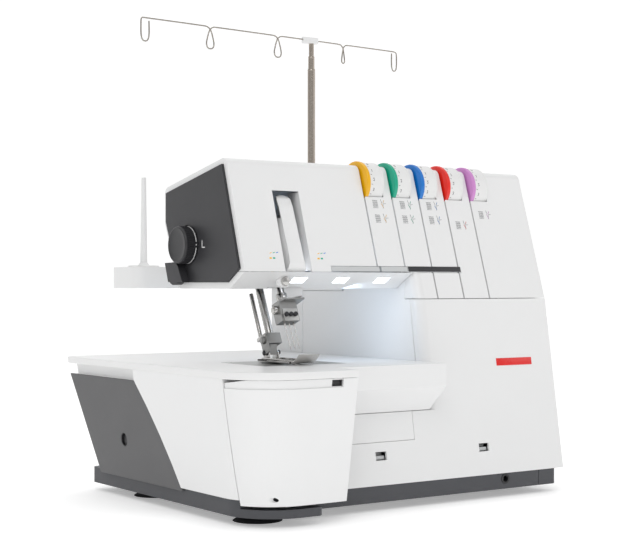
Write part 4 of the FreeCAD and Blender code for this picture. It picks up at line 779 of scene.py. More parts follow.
# ------------------------------------------------------------------ thread tension dials
@dataclass
class TensionDial:
    """One thumbwheel: a coloured ring and a white numbered drum."""

    bench: Bench
    index: int
    color: str
    first_x: float = -14.4
    pitch: float = 35.4
    centre_y: float = -57.7
    centre_z: float = 324.7
    radius: float = 23.5
    ring_wide: float = 4.2
    drum_radius: float = 22.7
    wide: float = 22.1
    numerals: int = 10

    @property
    def start(self) -> float:
        """X of the ring's free side."""
        return self.first_x + self.pitch * self.index

    @property
    def body(self) -> str:
        """The body that turns with this dial."""
        return f"tension_dial_{self.index + 1}"

    def build(self) -> None:
        """Make ring, drum and numerals."""
        self._ring()
        self._drum()
        self._numerals()

    def _ring(self) -> None:
        """The coloured ring: a rounded shoulder and a small chamfer."""
        mesh = bmesh.new()
        shoulder = [(self.radius - 1.4 * (1 - math.cos(math.radians(step))),
                     1.4 * (1 - math.sin(math.radians(step))))
                    for step in (0, 30, 60, 90)]
        profile = [(3.2, 0.0), (self.radius - 1.4, 0.0)]
        profile += [(radius, along) for radius, along in reversed(shoulder)]
        profile += [(self.radius, self.ring_wide - 0.6), (self.radius - 0.6, self.ring_wide),
                    (3.2, self.ring_wide)]
        add_lathe(mesh, profile, (self.start, self.centre_y, self.centre_z), Axis.X, 96)
        finish = MouldedPlastic(f"dial_ring_{self.color}", THREAD_COLORS[self.color], 0.32, 0.3, 0.006,
                                0.03, 0.3)
        self.bench.keep(mesh, f"dial_ring_{self.index + 1}", self.body, Slot.DIAL, finish, [self.body])

    def _drum(self) -> None:
        """The white drum with a fine groove near its far end."""
        mesh = bmesh.new()
        low, high = self.ring_wide, self.wide
        profile = [(3.2, low), (self.drum_radius, low), (self.drum_radius, high - 2.6),
                   (self.drum_radius - 0.4, high - 2.3),
                   (self.drum_radius - 0.4, high - 1.9), (self.drum_radius, high - 1.6),
                   (self.drum_radius, high - 0.5),
                   (self.drum_radius - 0.5, high), (3.2, high)]
        add_lathe(mesh, profile, (self.start, self.centre_y, self.centre_z), Axis.X, 96)
        self.bench.keep(mesh, f"dial_drum_{self.index + 1}", self.body, Slot.DIAL)

    def _numerals(self) -> None:
        """Numbers round the drum with a tick between each pair."""
        mesh = bmesh.new()
        axis = metres((0.0, self.centre_y, self.centre_z))
        for number in range(self.numerals):
            angle = math.radians(118.0 + 26.0 * number)
            out = Vector((0.0, math.cos(angle), math.sin(angle)))
            up = Vector((0.0, -math.sin(angle), math.cos(angle)))
            turn = Matrix((out.cross(up), up, out)).transposed().to_4x4()
            place = Matrix.Translation(axis + out * (self.drum_radius + 0.02) * MM
                                       + metres((self.start + self.ring_wide + 4.4, 0, 0))) @ turn
            text_mesh(mesh, str(number), 4.6, place, 0.04)
            half = angle + math.radians(13.0)
            tick_out = Vector((0.0, math.cos(half), math.sin(half)))
            tick = Matrix.Translation(axis + tick_out * (self.drum_radius + 0.02) * MM
                                      + metres((self.start + self.ring_wide + 2.0, 0, 0)))
            place = tick @ aimed(tick_out)
            add_block(mesh, (-1.0, -0.2, -0.03), (1.0, 0.2, 0.04), 0.0, place @ self._square(tick_out))
        self.bench.keep(mesh, f"dial_numerals_{self.index + 1}", self.body, Slot.DIAL,
                        PrintedInk("numeral_ink", (0.05, 0.05, 0.055)))

    @staticmethod
    def _square(out: Vector) -> Matrix:
        """Turn about Z so that a mark's X runs along the machine."""
        settled = aimed(out).inverted() @ Vector((1.0, 0.0, 0.0))
        return Matrix.Rotation(math.atan2(settled.y, settled.x), 4, "Z")


# ------------------------------------------------------------------ printed marks
@dataclass
class FrontMarks:
    """Generic threading pictograms, the small colour keys and the plain red badge."""

    bench: Bench
    columns: tuple[str, ...] = ("yellow", "green", "blue", "red", "violet")
    first_x: float = -16.0
    pitch: float = 35.4

    def build(self) -> None:
        """Make every printed mark."""
        self._pictograms()
        self._keys()
        self._badge()

    @staticmethod
    def _bar(mesh: bmesh.types.BMesh, face: Face, at: tuple[float, float], size: tuple[float, float],
             turn: float = 0.0) -> None:
        """One thin printed bar.

        Args:
            mesh: The bmesh that it joins.
            face: The face it is printed on.
            at: X and height of its middle in millimetres.
            size: Its length and width in millimetres.
            turn: Its turn in the face in degrees.
        """
        place = face.spot(at[0], at[1], 0.02) @ Matrix.Rotation(math.radians(turn), 4, "Z")
        add_block(mesh, (-size[0] / 2, -size[1] / 2, -PRINT), (size[0] / 2, size[1] / 2, PRINT), 0.0, place)

    def _pictograms(self) -> None:
        """Hatched cloth swatches and little thread paths under each dial."""
        grey = bmesh.new()
        for index, color in enumerate(self.columns):
            tinted = bmesh.new()
            left = self.first_x + self.pitch * index + 8.5
            rows = (303.5, 288.5) if index < 3 else ((284.0,) if index == 3 else (296.0,))
            for z in rows:
                for line in range(5):
                    self._bar(grey if z > 280 or index < 2 else tinted, UPPER,
                              (left + 1.2 + 1.25 * line, z), (0.42, 8.6 - line * 0.5))
                    self._bar(grey, UPPER, (left + 3.6, z - 4.0 + 1.9 * line), (6.6, 0.34))
                self._bar(grey, UPPER, (left + 11.8, z + 3.0), (0.5, 4.4), 12)
                self._bar(grey, UPPER, (left + 13.6, z - 1.0), (0.4, 7.6), -10)
                self._bar(tinted, UPPER, (left + 12.6, z - 1.6), (0.8, 5.2), 24)
                self._bar(tinted, UPPER, (left + 14.6, z + 2.6), (0.7, 3.6), -28)
                self._bar(grey, UPPER, (left + 15.8, z + 0.6), (3.0, 0.4), 8)
            finish = PrintedInk(f"pictogram_{color}",
                                tuple(0.16 + 0.5 * channel for channel in THREAD_COLORS[color]))
            self.bench.keep(tinted, f"pictogram_accent_{index + 1}", "frame", Slot.BODY, finish)
        self.bench.keep(grey, "pictogram_lines", "frame", Slot.BODY,
                        PrintedInk("pictogram_grey", (0.20, 0.20, 0.21)))

    def _keys(self) -> None:
        """Two small groups of colour keys beside the take-up slot."""
        for color, places in (("yellow", ((0.0, 0.0), (1.0, 5.0))), ("green", ((4.0, 0.0), (4.6, 5.2))),
                              ("blue", ((8.4, 5.4),))):
            mesh = bmesh.new()
            for left in (-143.0, -87.0):
                for dx, dz in places:
                    self._bar(mesh, UPPER, (left + dx, 246.5 + dz), (2.6, 1.6 if dz < 1 else 0.7),
                              0 if dz < 1 else 18)
            self.bench.keep(mesh, f"colour_key_{color}", "frame", Slot.BODY,
                            PrintedInk(f"key_{color}", THREAD_COLORS[color]))

    def _badge(self) -> None:
        """A plain red badge, with nothing on it."""
        mesh = bmesh.new()
        add_block(mesh, (-25.0, -3.9, -0.1), (25.0, 3.9, 0.35), 0.12, LOWER.spot(150.0, 139.5))
        self.bench.keep(mesh, "plain_badge", "frame", Slot.BODY,
                        MouldedPlastic("badge_red", (0.80, 0.012, 0.010), 0.28, 0.3, 0.004, 0.02, 0.5))


# ------------------------------------------------------------------ end of the head
@dataclass
class EndControls:
    """The pressure knob, its index ring and the pointer beside it."""

    bench: Bench
    knob_y: float = 1.6
    knob_z: float = 260.5
    radius: float = 18.8
    face: float = -190.5
    seat: float = -177.0

    def build(self) -> None:
        """Make the knob and its marks."""
        self._knob()
        self._index()
        self._pointer()

    def _knob(self) -> None:
        """A dished cap over a ribbed skirt."""
        mesh = bmesh.new()
        at = (0.0, self.knob_y, self.knob_z)
        add_ribbed(mesh, at, Axis.X, self.radius, (self.face + 2.6, self.seat - 2.8), 52, 0.45)
        cap = [(0.0, self.face + 0.9), (11.0, self.face + 0.8), (15.4, self.face + 0.4), (16.6, self.face),
               (17.6, self.face + 0.25), (18.3, self.face + 1.0), (self.radius - 0.1, self.face + 2.2),
               (self.radius - 0.2, self.face + 3.0), (0.0, self.face + 3.0)]
        add_lathe(mesh, cap, at, Axis.X, 96)
        skirt = [(0.0, self.seat - 3.2), (self.radius - 0.3, self.seat - 3.2),
                 (self.radius - 0.3, self.seat + 0.6),
                 (3.0, self.seat + 0.6), (3.0, self.seat + 15.0), (0.0, self.seat + 15.0)]
        add_lathe(mesh, skirt, at, Axis.X, 96)
        self.bench.keep(mesh, "pressure_knob", "pressure_dial", Slot.KNOB, stands_for=["pressure_dial"])

    def _index(self) -> None:
        """The white index line round the skirt, open at the pointer, with a dot in the opening."""
        mesh = bmesh.new()
        place = metres((self.seat - 1.9, self.knob_y, self.knob_z))
        verts = [mesh.verts.new(place + metres((along, -radius * math.cos(0.16), radius * math.sin(0.16))))
                 for radius, along in ((18.45, 0.0), (18.72, 0.0), (18.72, 0.8), (18.45, 0.8))]
        face = mesh.faces.new(verts)
        bmesh.ops.spin(mesh, geom=[face, *face.verts, *face.edges], cent=place, axis=Vector((1, 0, 0)),
                       angle=-(math.tau - 0.32), steps=120, use_merge=False)
        add_block(mesh, (self.seat - 2.0, self.knob_y - 18.75, self.knob_z - 0.7),
                  (self.seat - 1.0, self.knob_y - 18.3, self.knob_z + 0.7), 0.1)
        self.bench.keep(mesh, "knob_index_line", "pressure_dial", Slot.KNOB,
                        PrintedInk("index_white", (0.75, 0.75, 0.75)))

    def _pointer(self) -> None:
        """A small white angle mark on the cap, in front of the knob."""
        mesh = bmesh.new()
        x = self.seat
        add_block(mesh, (x - 0.06, -26.2, 257.2), (x + 0.04, -25.2, 264.8))
        add_block(mesh, (x - 0.06, -31.0, 257.2), (x + 0.04, -26.2, 258.2))
        self.bench.keep(mesh, "cap_pointer", "frame", Slot.CAP,
                        PrintedInk("pointer_white", (0.75, 0.75, 0.75)))


# ------------------------------------------------------------------ take-up opening
@dataclass
class TakeUp:
    """The white fairing that runs down the take-up opening, and the opening's side walls."""

    bench: Bench
    left: float = -121.0
    right: float = -104.5
    top: float = 309.0
    low: float = 233.0
    thick: float = 2.4
    slot_left: float = -128.0
    slot_right: float = -97.0

    def build(self) -> None:
        """Make the fairing and the walls."""
        self._fairing()
        self._walls()

    def _depth(self, z: float) -> float:
        """The fairing's profile.

        Args:
            z: Height in millimetres.

        Returns:
            How far its skin lies behind the head's front face.
        """
        knots = ((233.0, 5.5), (237.0, 1.2), (243.0, -0.9), (255.0, -0.4), (275.0, 1.0), (296.0, 2.4),
                 (305.0, 4.2),
                 (309.0, 7.5))
        for (low_z, low_d), (high_z, high_d) in zip(knots, knots[1:]):
            if low_z <= z <= high_z:
                share = (z - low_z) / (high_z - low_z)
                share = share * share * (3 - 2 * share)
                return low_d + (high_d - low_d) * share
        return knots[-1][1]

    def _half(self, z: float) -> float:
        """The fairing's outline: round at its top, flared at its foot.

        Args:
            z: Height in millimetres.

        Returns:
            Half its width.
        """
        half = (self.right - self.left) / 2
        if z > self.top - 5.0:
            rise = (z - (self.top - 5.0)) / 5.0
            return half - 5.0 * (1.0 - math.sqrt(max(0.0, 1.0 - rise * rise)))
        if z < 252.0:
            return half + 3.0 * ((252.0 - z) / 19.0) ** 2
        return half

    def _fairing(self) -> None:
        """A grid shaped by the depth and width at each height, thickened and softened."""
        mesh = bmesh.new()
        grid = bmesh.ops.create_grid(mesh, x_segments=10, y_segments=44, size=1.0)["verts"]
        middle = (self.left + self.right) / 2
        for vert in grid:
            across, z = vert.co.x, self.low + (vert.co.y + 1.0) / 2.0 * (self.top - self.low)
            crown = 0.9 * across ** 4
            vert.co = metres((middle + across * self._half(z), UPPER.y(z) + self._depth(z) + crown, z))
        bmesh.ops.recalc_face_normals(mesh, faces=mesh.faces)
        if sum(face.normal.y for face in mesh.faces) > 0:
            bmesh.ops.reverse_faces(mesh, faces=mesh.faces)
        bmesh.ops.solidify(mesh, geom=mesh.faces[:], thickness=self.thick * MM)
        self.bench.keep(mesh, "take_up_fairing", "frame", Slot.BODY, stands_for=["take_up_cover"],
                        crease=50.0)

    def _walls(self) -> None:
        """Inner side walls of the opening, drawn back behind its edges."""
        mesh = bmesh.new()
        for x, top in ((self.slot_left - 1.6, 282.0), (self.left + 0.4, 286.0),
                       (self.slot_right + 0.2, 312.0)):
            outline = [metres((x, UPPER.y(z) + back, z)) for z, back in
                       ((234.6, 2.6), (top, 2.6), (top, 20.0), (234.6, 26.0))]
            add_prism(mesh, outline, metres((1.4, 0, 0)), 0.2)
        self.bench.keep(mesh, "take_up_side_walls", "frame", Slot.BODY)


# ------------------------------------------------------------------ needle, presser and plate
@dataclass
class SewingParts:
    """Small metal pieces round the needles: thread guides, screws, rods, foot and feed teeth."""

    bench: Bench
    bar_x: float = -108.7
    bar_y: float = -68.1
    bar_z: float = 200.7
    lean: float = 23.0
    plate_top: float = 143.0

    def bar_frame(self) -> Matrix:
        """The leaning frame of the needle bar."""
        turn = Matrix.Rotation(-math.radians(self.lean), 4, "X")
        return Matrix.Translation(metres((self.bar_x, self.bar_y, self.bar_z))) @ turn

    def build(self) -> None:
        """Make every small piece."""
        self._clamp_details()
        self._presser_rod()
        self._ankle_screws()
        self._foot()
        self._feed()
        self._plate_details()
        self._thread_disc()

    def _place(self, mesh: bmesh.types.BMesh) -> None:
        """Lean a bmesh that was drawn upright."""
        bmesh.ops.transform(mesh, matrix=self.bar_frame(), verts=mesh.verts)

    def _clamp_details(self) -> None:
        """A pale front plate, the clamp screw on its side, a collar on the bar and a thread hook."""
        mesh = bmesh.new()
        add_block(mesh, (-7.8, -7.9, -19.5), (9.2, -7.0, -6.5), 0.35)
        self._place(mesh)
        self.bench.keep(mesh, "clamp_face_plate", "needle_group", Slot.SATIN,
                        DrawnMetal("pale_satin_steel", (0.60, 0.60, 0.59), 0.30, Axis.X))
        mesh = bmesh.new()
        add_rod(mesh, (-14.6, -1.0, -6.0), (-10.1, -1.0, -6.0), 4.2, rounding=0.5)
        add_rod(mesh, (-15.2, -1.0, -6.0), (-14.5, -1.0, -6.0), 3.0, rounding=0.2)
        add_rod(mesh, (0.0, 0.0, 3.4), (0.0, 0.0, 11.5), 5.4, rounding=0.6)
        self._place(mesh)
        self.bench.keep(mesh, "clamp_side_screw", "needle_group", Slot.POLISHED)
        data = wire_mesh([self.bar_frame() @ metres(p) for p in
                          ((3, -5, 4.4), (9, -8, 5.0), (16, -10, 5.4), (19, -8, 6.2), (18, -5.5, 6.4),
                           (13, -5, 5.8))],
                         0.55, "needle_thread_hook")
        self.bench.adopt(data, "needle_thread_hook", "needle_group", Slot.POLISHED)

    def _presser_rod(self) -> None:
        """The thin guide rod behind the presser bar."""
        mesh = bmesh.new()
        add_rod(mesh, (-5.5, 43.5, -20.0), (-5.5, 43.5, 30.0), 2.1, rounding=0.4)
        add_block(mesh, (-9.0, 30.0, -21.5), (-2.5, 46.5, -17.5), 0.6)
        self._place(mesh)
        self.bench.keep(mesh, "presser_guide_rod", "presser", Slot.POLISHED)

    def _ankle_screws(self) -> None:
        """Slotted screws on the ankle's side and the small release lever."""
        mesh = bmesh.new()
        add_rod(mesh, (-11.0, 35.0, -23.5), (-7.9, 35.0, -23.5), 4.0, rounding=0.5)
        add_rod(mesh, (-11.6, 35.0, -23.5), (-10.9, 35.0, -23.5), 2.6, rounding=0.2)
        add_block(mesh, (-8.9, 28.5, -38.0), (-7.3, 41.0, -19.0), 0.5)
        self._place(mesh)
        self.bench.keep(mesh, "ankle_screw", "presser", Slot.SATIN)
        mesh = bmesh.new()
        add_rod(mesh, (self.bar_x - 9.4, -46.0, 153.0), (self.bar_x - 7.0, -46.0, 153.0), 2.6, rounding=0.4)
        add_rod(mesh, (self.bar_x + 7.0, -46.0, 153.0), (self.bar_x + 9.4, -46.0, 153.0), 2.6, rounding=0.4)
        self.bench.keep(mesh, "ankle_pin_heads", "presser", Slot.DARK)

    def _foot(self) -> None:
        """The sole: two prongs, a heel and a toe that curls up, bent from one strip."""
        mesh = bmesh.new()
        for left, right, toe in ((-121.5, -116.0, -101.0), (-101.4, -97.0, -101.0)):
            add_block(mesh, (left, toe, 144.4), (right, -40.0, 146.6), 0.3)
        add_block(mesh, (-121.5, -76.0, 144.4), (-97.0, -40.0, 146.6), 0.3)
        for rib in (-118.4, -99.6):
            add_block(mesh, (rib - 0.7, -98.0, 146.4), (rib + 0.7, -44.0, 148.2), 0.3)
        path = [(-97.0 - 1.6 * step, 144.4 + 8.2 * (step / 10.0) ** 2.2) for step in range(11)]
        strip = [metres((-121.5, y, z)) for y, z in path]
        strip += [metres((-121.5, y - 0.5 * i / 10.0, z + 2.0 - 0.5 * i / 10.0)) for i, (y, z) in
                  reversed(list(enumerate(path)))]
        add_prism(mesh, strip, metres((24.5, 0, 0)), 0.25)
        for x in (self.bar_x - 6.4, self.bar_x + 4.4):
            outline = [metres((x, y, z)) for y,
                       z in ((-52.5, 146.0), (-50.0, 153.6), (-47.6, 155.9), (-44.4, 155.9),
                                                      (-42.0, 153.6), (-40.6, 146.0))]
            add_prism(mesh, outline, metres((2.0, 0, 0)), 0.25)
        self.bench.keep(mesh, "presser_sole", "foot", Slot.POLISHED, stands_for=["presser_foot"])

    def _feed(self) -> None:
        """Three rows of saw teeth on their carrier."""
        mesh = bmesh.new()
        pitch, count = 1.6, 27
        for offset in (-9.0, -1.0, 7.0):
            outline = [metres((self.bar_x + offset, -82.0, 139.0))]
            for tooth in range(count):
                start = -82.0 + tooth * pitch
                outline.append(metres((self.bar_x + offset, start, self.plate_top - 0.7)))
                outline.append(metres((self.bar_x + offset, start + pitch * 0.75, self.plate_top + 0.3)))
            outline.append(metres((self.bar_x + offset, -82.0 + count * pitch, self.plate_top - 0.7)))
            outline.append(metres((self.bar_x + offset, -82.0 + count * pitch, 139.0)))
            add_prism(mesh, outline, metres((4.0, 0, 0)))
            add_block(mesh, (self.bar_x + offset, -82.0, 133.0),
                      (self.bar_x + offset + 4.0, -38.8, 139.1), 0.3)
        add_block(mesh, (self.bar_x - 9.0, -78.0, 127.0), (self.bar_x + 11.0, -42.0, 134.0), 0.6)
        self.bench.keep(mesh, "feed_teeth", "feed", Slot.SATIN, stands_for=["feed_dogs"])

    def _plate_details(self) -> None:
        """Two plate screws, the chaining finger and shallow seam guide lines."""
        mesh = bmesh.new()
        for x, y in ((-143.0, -23.0), (-62.0, -23.0)):
            add_lathe(mesh, [(0.0, 0.15), (2.2, 0.3), (3.2, 0.1), (3.4, -0.4), (0.0, -0.4)],
                      (x, y, self.plate_top), Axis.Z, 32)
        add_block(mesh, (self.bar_x + 1.2, -97.4, self.plate_top - 1.2),
                  (self.bar_x + 3.0, -80.0, self.plate_top - 0.1), 0.2)
        self.bench.keep(mesh, "needle_plate_screws", "frame", Slot.POLISHED)
        lines = bmesh.new()
        for step in range(5):
            x = -92.0 + 6.0 * step
            add_block(lines, (x - 0.15, -95.0, self.plate_top - 0.04),
                      (x + 0.15, -78.0, self.plate_top + 0.03))
        self.bench.keep(lines, "seam_guide_lines", "frame", Slot.SATIN,
                        PrintedInk("guide_line_ink", (0.12, 0.12, 0.13)))

    def _thread_disc(self) -> None:
        """The chromed thread disc under the head's front lip, in its white bracket."""
        mesh = bmesh.new()
        at = (-124.0, -90.5, 224.0)
        add_ribbed(mesh, at, Axis.Y, 4.6, (-5.2, -2.6), 14, 0.35)
        add_lathe(mesh, [(0.0, -6.4), (2.0, -6.2), (3.9, -5.6), (4.3, -5.0), (0.0, -5.0)], at, Axis.Y, 32)
        self.bench.keep(mesh, "thread_disc", "frame", Slot.POLISHED)
        bracket = bmesh.new()
        add_lathe(bracket, [(0.0, -2.8), (5.6, -2.8), (6.2, -2.2), (6.2, 4.0), (0.0, 4.0)], at, Axis.Y, 48)
        self.bench.keep(bracket, "thread_disc_boss", "frame", Slot.BODY)


# ------------------------------------------------------------------ thread stand
@dataclass
class ThreadStand:
    """The guide wire with its loops, collars on the pole and cushions under the spools."""

    bench: Bench
    pole_x: float = 68.6
    pole_y: float = 140.0
    wire_z: float = 508.0
    turn: float = 4.4
    wire: float = 0.8
    pins: tuple[float, ...] = (-149.0, -66.0, 17.0, 120.0, 184.0)
    pin_y: float = 148.0
    tray_top: float = 240.0

    def build(self) -> None:
        """Make wire, collars and cushions."""
        self._guide()
        self._collars()
        self._cushions()

    def _guide(self) -> None:
        """One wire bent into a long loop at each end and drop-shaped loops between."""
        points: list[tuple[float, float, float]] = [(-225.5, 0.0, -3.0)]
        points += [(-225.2, 0, -9), (-225.2, 0, -19), (-227, 0, -24.2), (-230.5, 0, -25.4),
                   (-234, 0, -24.2),
                   (-235.6, 0, -19), (-235.6, 0, -8), (-235.6, 0, -2.4), (-234.4, 0, 0), (-231, 0, 0)]
        for middle in (-145.0, -50.0):
            points += self._drop(middle, 5.2, 24.6, 1.0)
        points += [(-30.0, 0.0, 0.0), (0.0, 0.0, 0.0), (30.0, 0.0, 0.0)]
        points += self._drop(49.0, 2.6, 22.0, 1.4)
        points += [(125, 0, 0), (130, 0, 0), (134.4, 0, -0.6), (135.6, 0, -4), (135.6, 0, -17),
                   (134.6, 0, -22.4),
                   (131.4, 0, -24.6), (128.2, 0, -22.4), (127.2, 0, -17), (127.2, 0, -7), (127.4, 0, -2.4)]
        place = Matrix.Translation(metres((self.pole_x, self.pole_y, self.wire_z)))
        place = place @ Matrix.Rotation(math.radians(self.turn), 4, "Z")
        data = wire_mesh([place @ metres(point) for point in points], self.wire, "guide_wire_bent")
        self.bench.adopt(data, "guide_wire_bent", "thread_guide", Slot.POLISHED,
                         DrawnMetal("guide_wire_nickel", (0.42, 0.39, 0.35), 0.16, Axis.X), ["guide_wire"])

    @staticmethod
    def _drop(middle: float, half: float, long: float, gap: float) -> list[Point]:
        """One drop-shaped loop that the wire makes on its way past.

        Args:
            middle: Place of the loop along the wire in millimetres.
            half: Half its width.
            long: How far it hangs.
            gap: How far its sides pass each other.

        Returns:
            Its control points.
        """
        lower = -long + half
        return [(middle - 9, 0, 0), (middle - 3.4, gap * 0.3, -0.2),
                (middle + half * 0.30, gap * 0.5, -4.0),
                (middle + half * 0.8, gap * 0.5, lower * 0.66), (middle + half * 1.08, gap * 0.2, lower),
                (middle + half * 0.72, 0, -long + 0.6), (middle, 0, -long - 0.4),
                (middle - half * 0.72, 0, -long + 0.6),
                (middle - half * 1.08, -gap * 0.2, lower), (middle - half * 0.8, -gap * 0.5, lower * 0.66),
                (middle - half * 0.30, -gap * 0.5, -4.0), (middle + 3.4, -gap * 0.3, -0.2),
                (middle + 9, 0, 0)]

    def _collars(self) -> None:
        """Rolled ends where one tube of the pole leaves the next."""
        for name, body, z, radius, bore in (("pole_lip_outer", "frame", 473.6, 4.62, 3.86),
                                            ("pole_lip_middle", "tube_middle", 488.6, 3.86, 3.12)):
            mesh = bmesh.new()
            profile = [(bore, -1.6), (radius - 0.1, -1.8), (radius, -1.2), (radius, -0.4),
                       (radius - 0.3, 0.1),
                       (bore + 0.2, 0.2), (bore, -0.2), (bore, -1.6)]
            add_lathe(mesh, profile, (self.pole_x, self.pole_y, z), Axis.Z, 48)
            self.bench.keep(mesh, name, body, Slot.NICKEL)

    def _cushions(self) -> None:
        """Moulded seats and foam pads on the tray under each spool pin."""
        seats, pads = bmesh.new(), bmesh.new()
        for x in self.pins:
            at = (x, self.pin_y, self.tray_top)
            add_lathe(seats,
                      [(4.1, 0.0), (8.6, 0.0), (8.2, 1.2), (6.2, 2.2), (4.8, 4.6), (4.1, 5.0),
                       (4.1, 0.0)], at, Axis.Z, 40)
            add_lathe(pads,
                      [(8.8, 0.05), (16.5, 0.05), (16.9, 0.6), (16.5, 1.7), (8.8, 1.9), (8.8, 0.05)], at,
                      Axis.Z, 48)
        self.bench.keep(seats, "spool_seats", "frame", Slot.BODY)
        self.bench.keep(pads, "spool_foam_pads", "frame", Slot.BODY,
                        Rubber("pale_foam", (0.66, 0.66, 0.655), 0.5))


# ------------------------------------------------------------------ drive side
@dataclass
class DriveSide:
    """Details on the handwheel side: hub cap, dial numbers and switch marks."""

    bench: Bench
    side: float = 205.0

    def build(self) -> None:
        """Make every detail of the drive side."""
        self._hub()
        self._dial_marks()
        self._switch_marks()

    def _hub(self) -> None:
        """A dished cap over the shaft's end."""
        mesh = bmesh.new()
        add_lathe(mesh, [(0.0, 220.6), (5.8, 220.8), (6.6, 220.2), (6.7, 219.6), (0.0, 219.6)],
                  (0, 10.0, 100.0), Axis.X, 48)
        self.bench.keep(mesh, "handwheel_hub_cap", "drive_shaft", Slot.TRIM)

    def _dial_marks(self) -> None:
        """Numbers round the stitch length dial and a pointer on the cover above it."""
        mesh = bmesh.new()
        for number in range(5):
            angle = math.radians(90 + 30 * (2 - number))
            spot = metres((212.03, -70.0 + 11.5 * math.cos(angle), 72.0 + 11.5 * math.sin(angle)))
            turn = Matrix(((0, 0, 1), (1, 0, 0), (0, 1, 0))).to_4x4()
            text_mesh(mesh, str(number), 5.0, Matrix.Translation(spot) @ turn, 0.04)
        self.bench.keep(mesh, "stitch_dial_numbers", "stitch_dial", Slot.KNOB,
                        PrintedInk("dial_number_white", (0.7, 0.7, 0.7)))
        pointer = bmesh.new()
        outline = [metres((self.side, y, z)) for y, z in ((-72.2, 95.5), (-67.8, 95.5), (-70.0, 91.4))]
        add_prism(pointer, outline, metres((0.06, 0, 0)))
        self.bench.keep(pointer, "stitch_dial_pointer", "frame", Slot.BODY,
                        PrintedInk("pointer_grey", (0.25, 0.25, 0.26)))

    def _switch_marks(self) -> None:
        """A bezel round the rocker with a bar mark above and a ring mark below."""
        mesh = bmesh.new()
        for low, high in (((-6.6, -9.8), (6.6, -8.1)), ((-6.6, 8.1), (6.6, 9.8)),
                          ((-6.6, -9.8), (-5.1, 9.8)), ((5.1, -9.8), (6.6, 9.8))):
            add_block(mesh, (self.side - 0.4, 36.0 + low[0], 50.0 + low[1]),
                      (self.side + 0.9, 36.0 + high[0], 50.0 + high[1]), 0.3)
        self.bench.keep(mesh, "switch_bezel", "frame", Slot.FITTING)
        marks = bmesh.new()
        add_block(marks, (self.side, 35.7, 61.5), (self.side + 0.06, 36.3, 65.5))
        add_lathe(marks, [(1.5, 0.0), (2.1, 0.0), (2.1, 0.06), (1.5, 0.06), (1.5, 0.0)],
                  (self.side, 36.0, 36.0), Axis.X, 32)
        self.bench.keep(marks, "switch_marks", "frame", Slot.BODY,
                        PrintedInk("switch_grey", (0.2, 0.2, 0.21)))


# ------------------------------------------------------------------ small body details
@dataclass
class BodyDetails:
    """The charcoal guide bar, clip tongues, screws behind and the lining of the side bore."""

    bench: Bench

    def build(self) -> None:
        """Make the small body details."""
        self._clip_tongues()
        self._rear_screws()
        self._side_bore()
        self._dark_bar()

    def _dark_bar(self) -> None:
        """A charcoal strip over the right end of the guide bars."""
        mesh = bmesh.new()
        add_block(mesh, (-34.9, -2.7, -0.6), (34.9, 2.7, 0.25), 0.2, UPPER.spot(57.7, 236.8))
        self.bench.keep(mesh, "guide_bar_dark", "frame", Slot.CAP)

    def _clip_tongues(self) -> None:
        """Grey tongues deep in the two snap windows of the lower front."""
        mesh = bmesh.new()
        for x in (-37.5, 96.0):
            place = LOWER.spot(x, 53.0)
            add_block(mesh, (-6.2, -3.2, -6.4), (6.2, 0.6, -3.4), 0.5, place)
            add_block(mesh, (-6.6, -3.9, -9.5), (6.6, 3.9, -8.2), 0.3, place)
        self.bench.keep(mesh, "clip_tongues", "frame", Slot.TRIM)

    def _rear_screws(self) -> None:
        """Cover screws on the back."""
        mesh = bmesh.new()
        for x, z in ((42.0, 40.0), (192.0, 40.0), (42.0, 178.0), (192.0, 178.0)):
            add_lathe(mesh, [(0.0, 0.9), (1.1, 0.8), (1.2, 0.2), (3.6, 0.5), (4.2, -0.1), (0.0, -0.2)],
                      (x, 164.0, z), Axis.Y, 32)
        self.bench.keep(mesh, "rear_screws", "frame", Slot.SATIN)

    def _side_bore(self) -> None:
        """A dark lining in the side panel's round opening."""
        mesh = bmesh.new()
        add_lathe(mesh,
                  [(6.2, -213.2), (6.45, -213.2), (6.45, -210.7), (0.0, -210.7), (0.0, -211.4),
                   (6.2, -211.4), (6.2, -213.2)],
                  (0.0, 69.0, 62.5), Axis.X, 40)
        self.bench.keep(mesh, "side_bore_lining", "frame", Slot.FITTING)


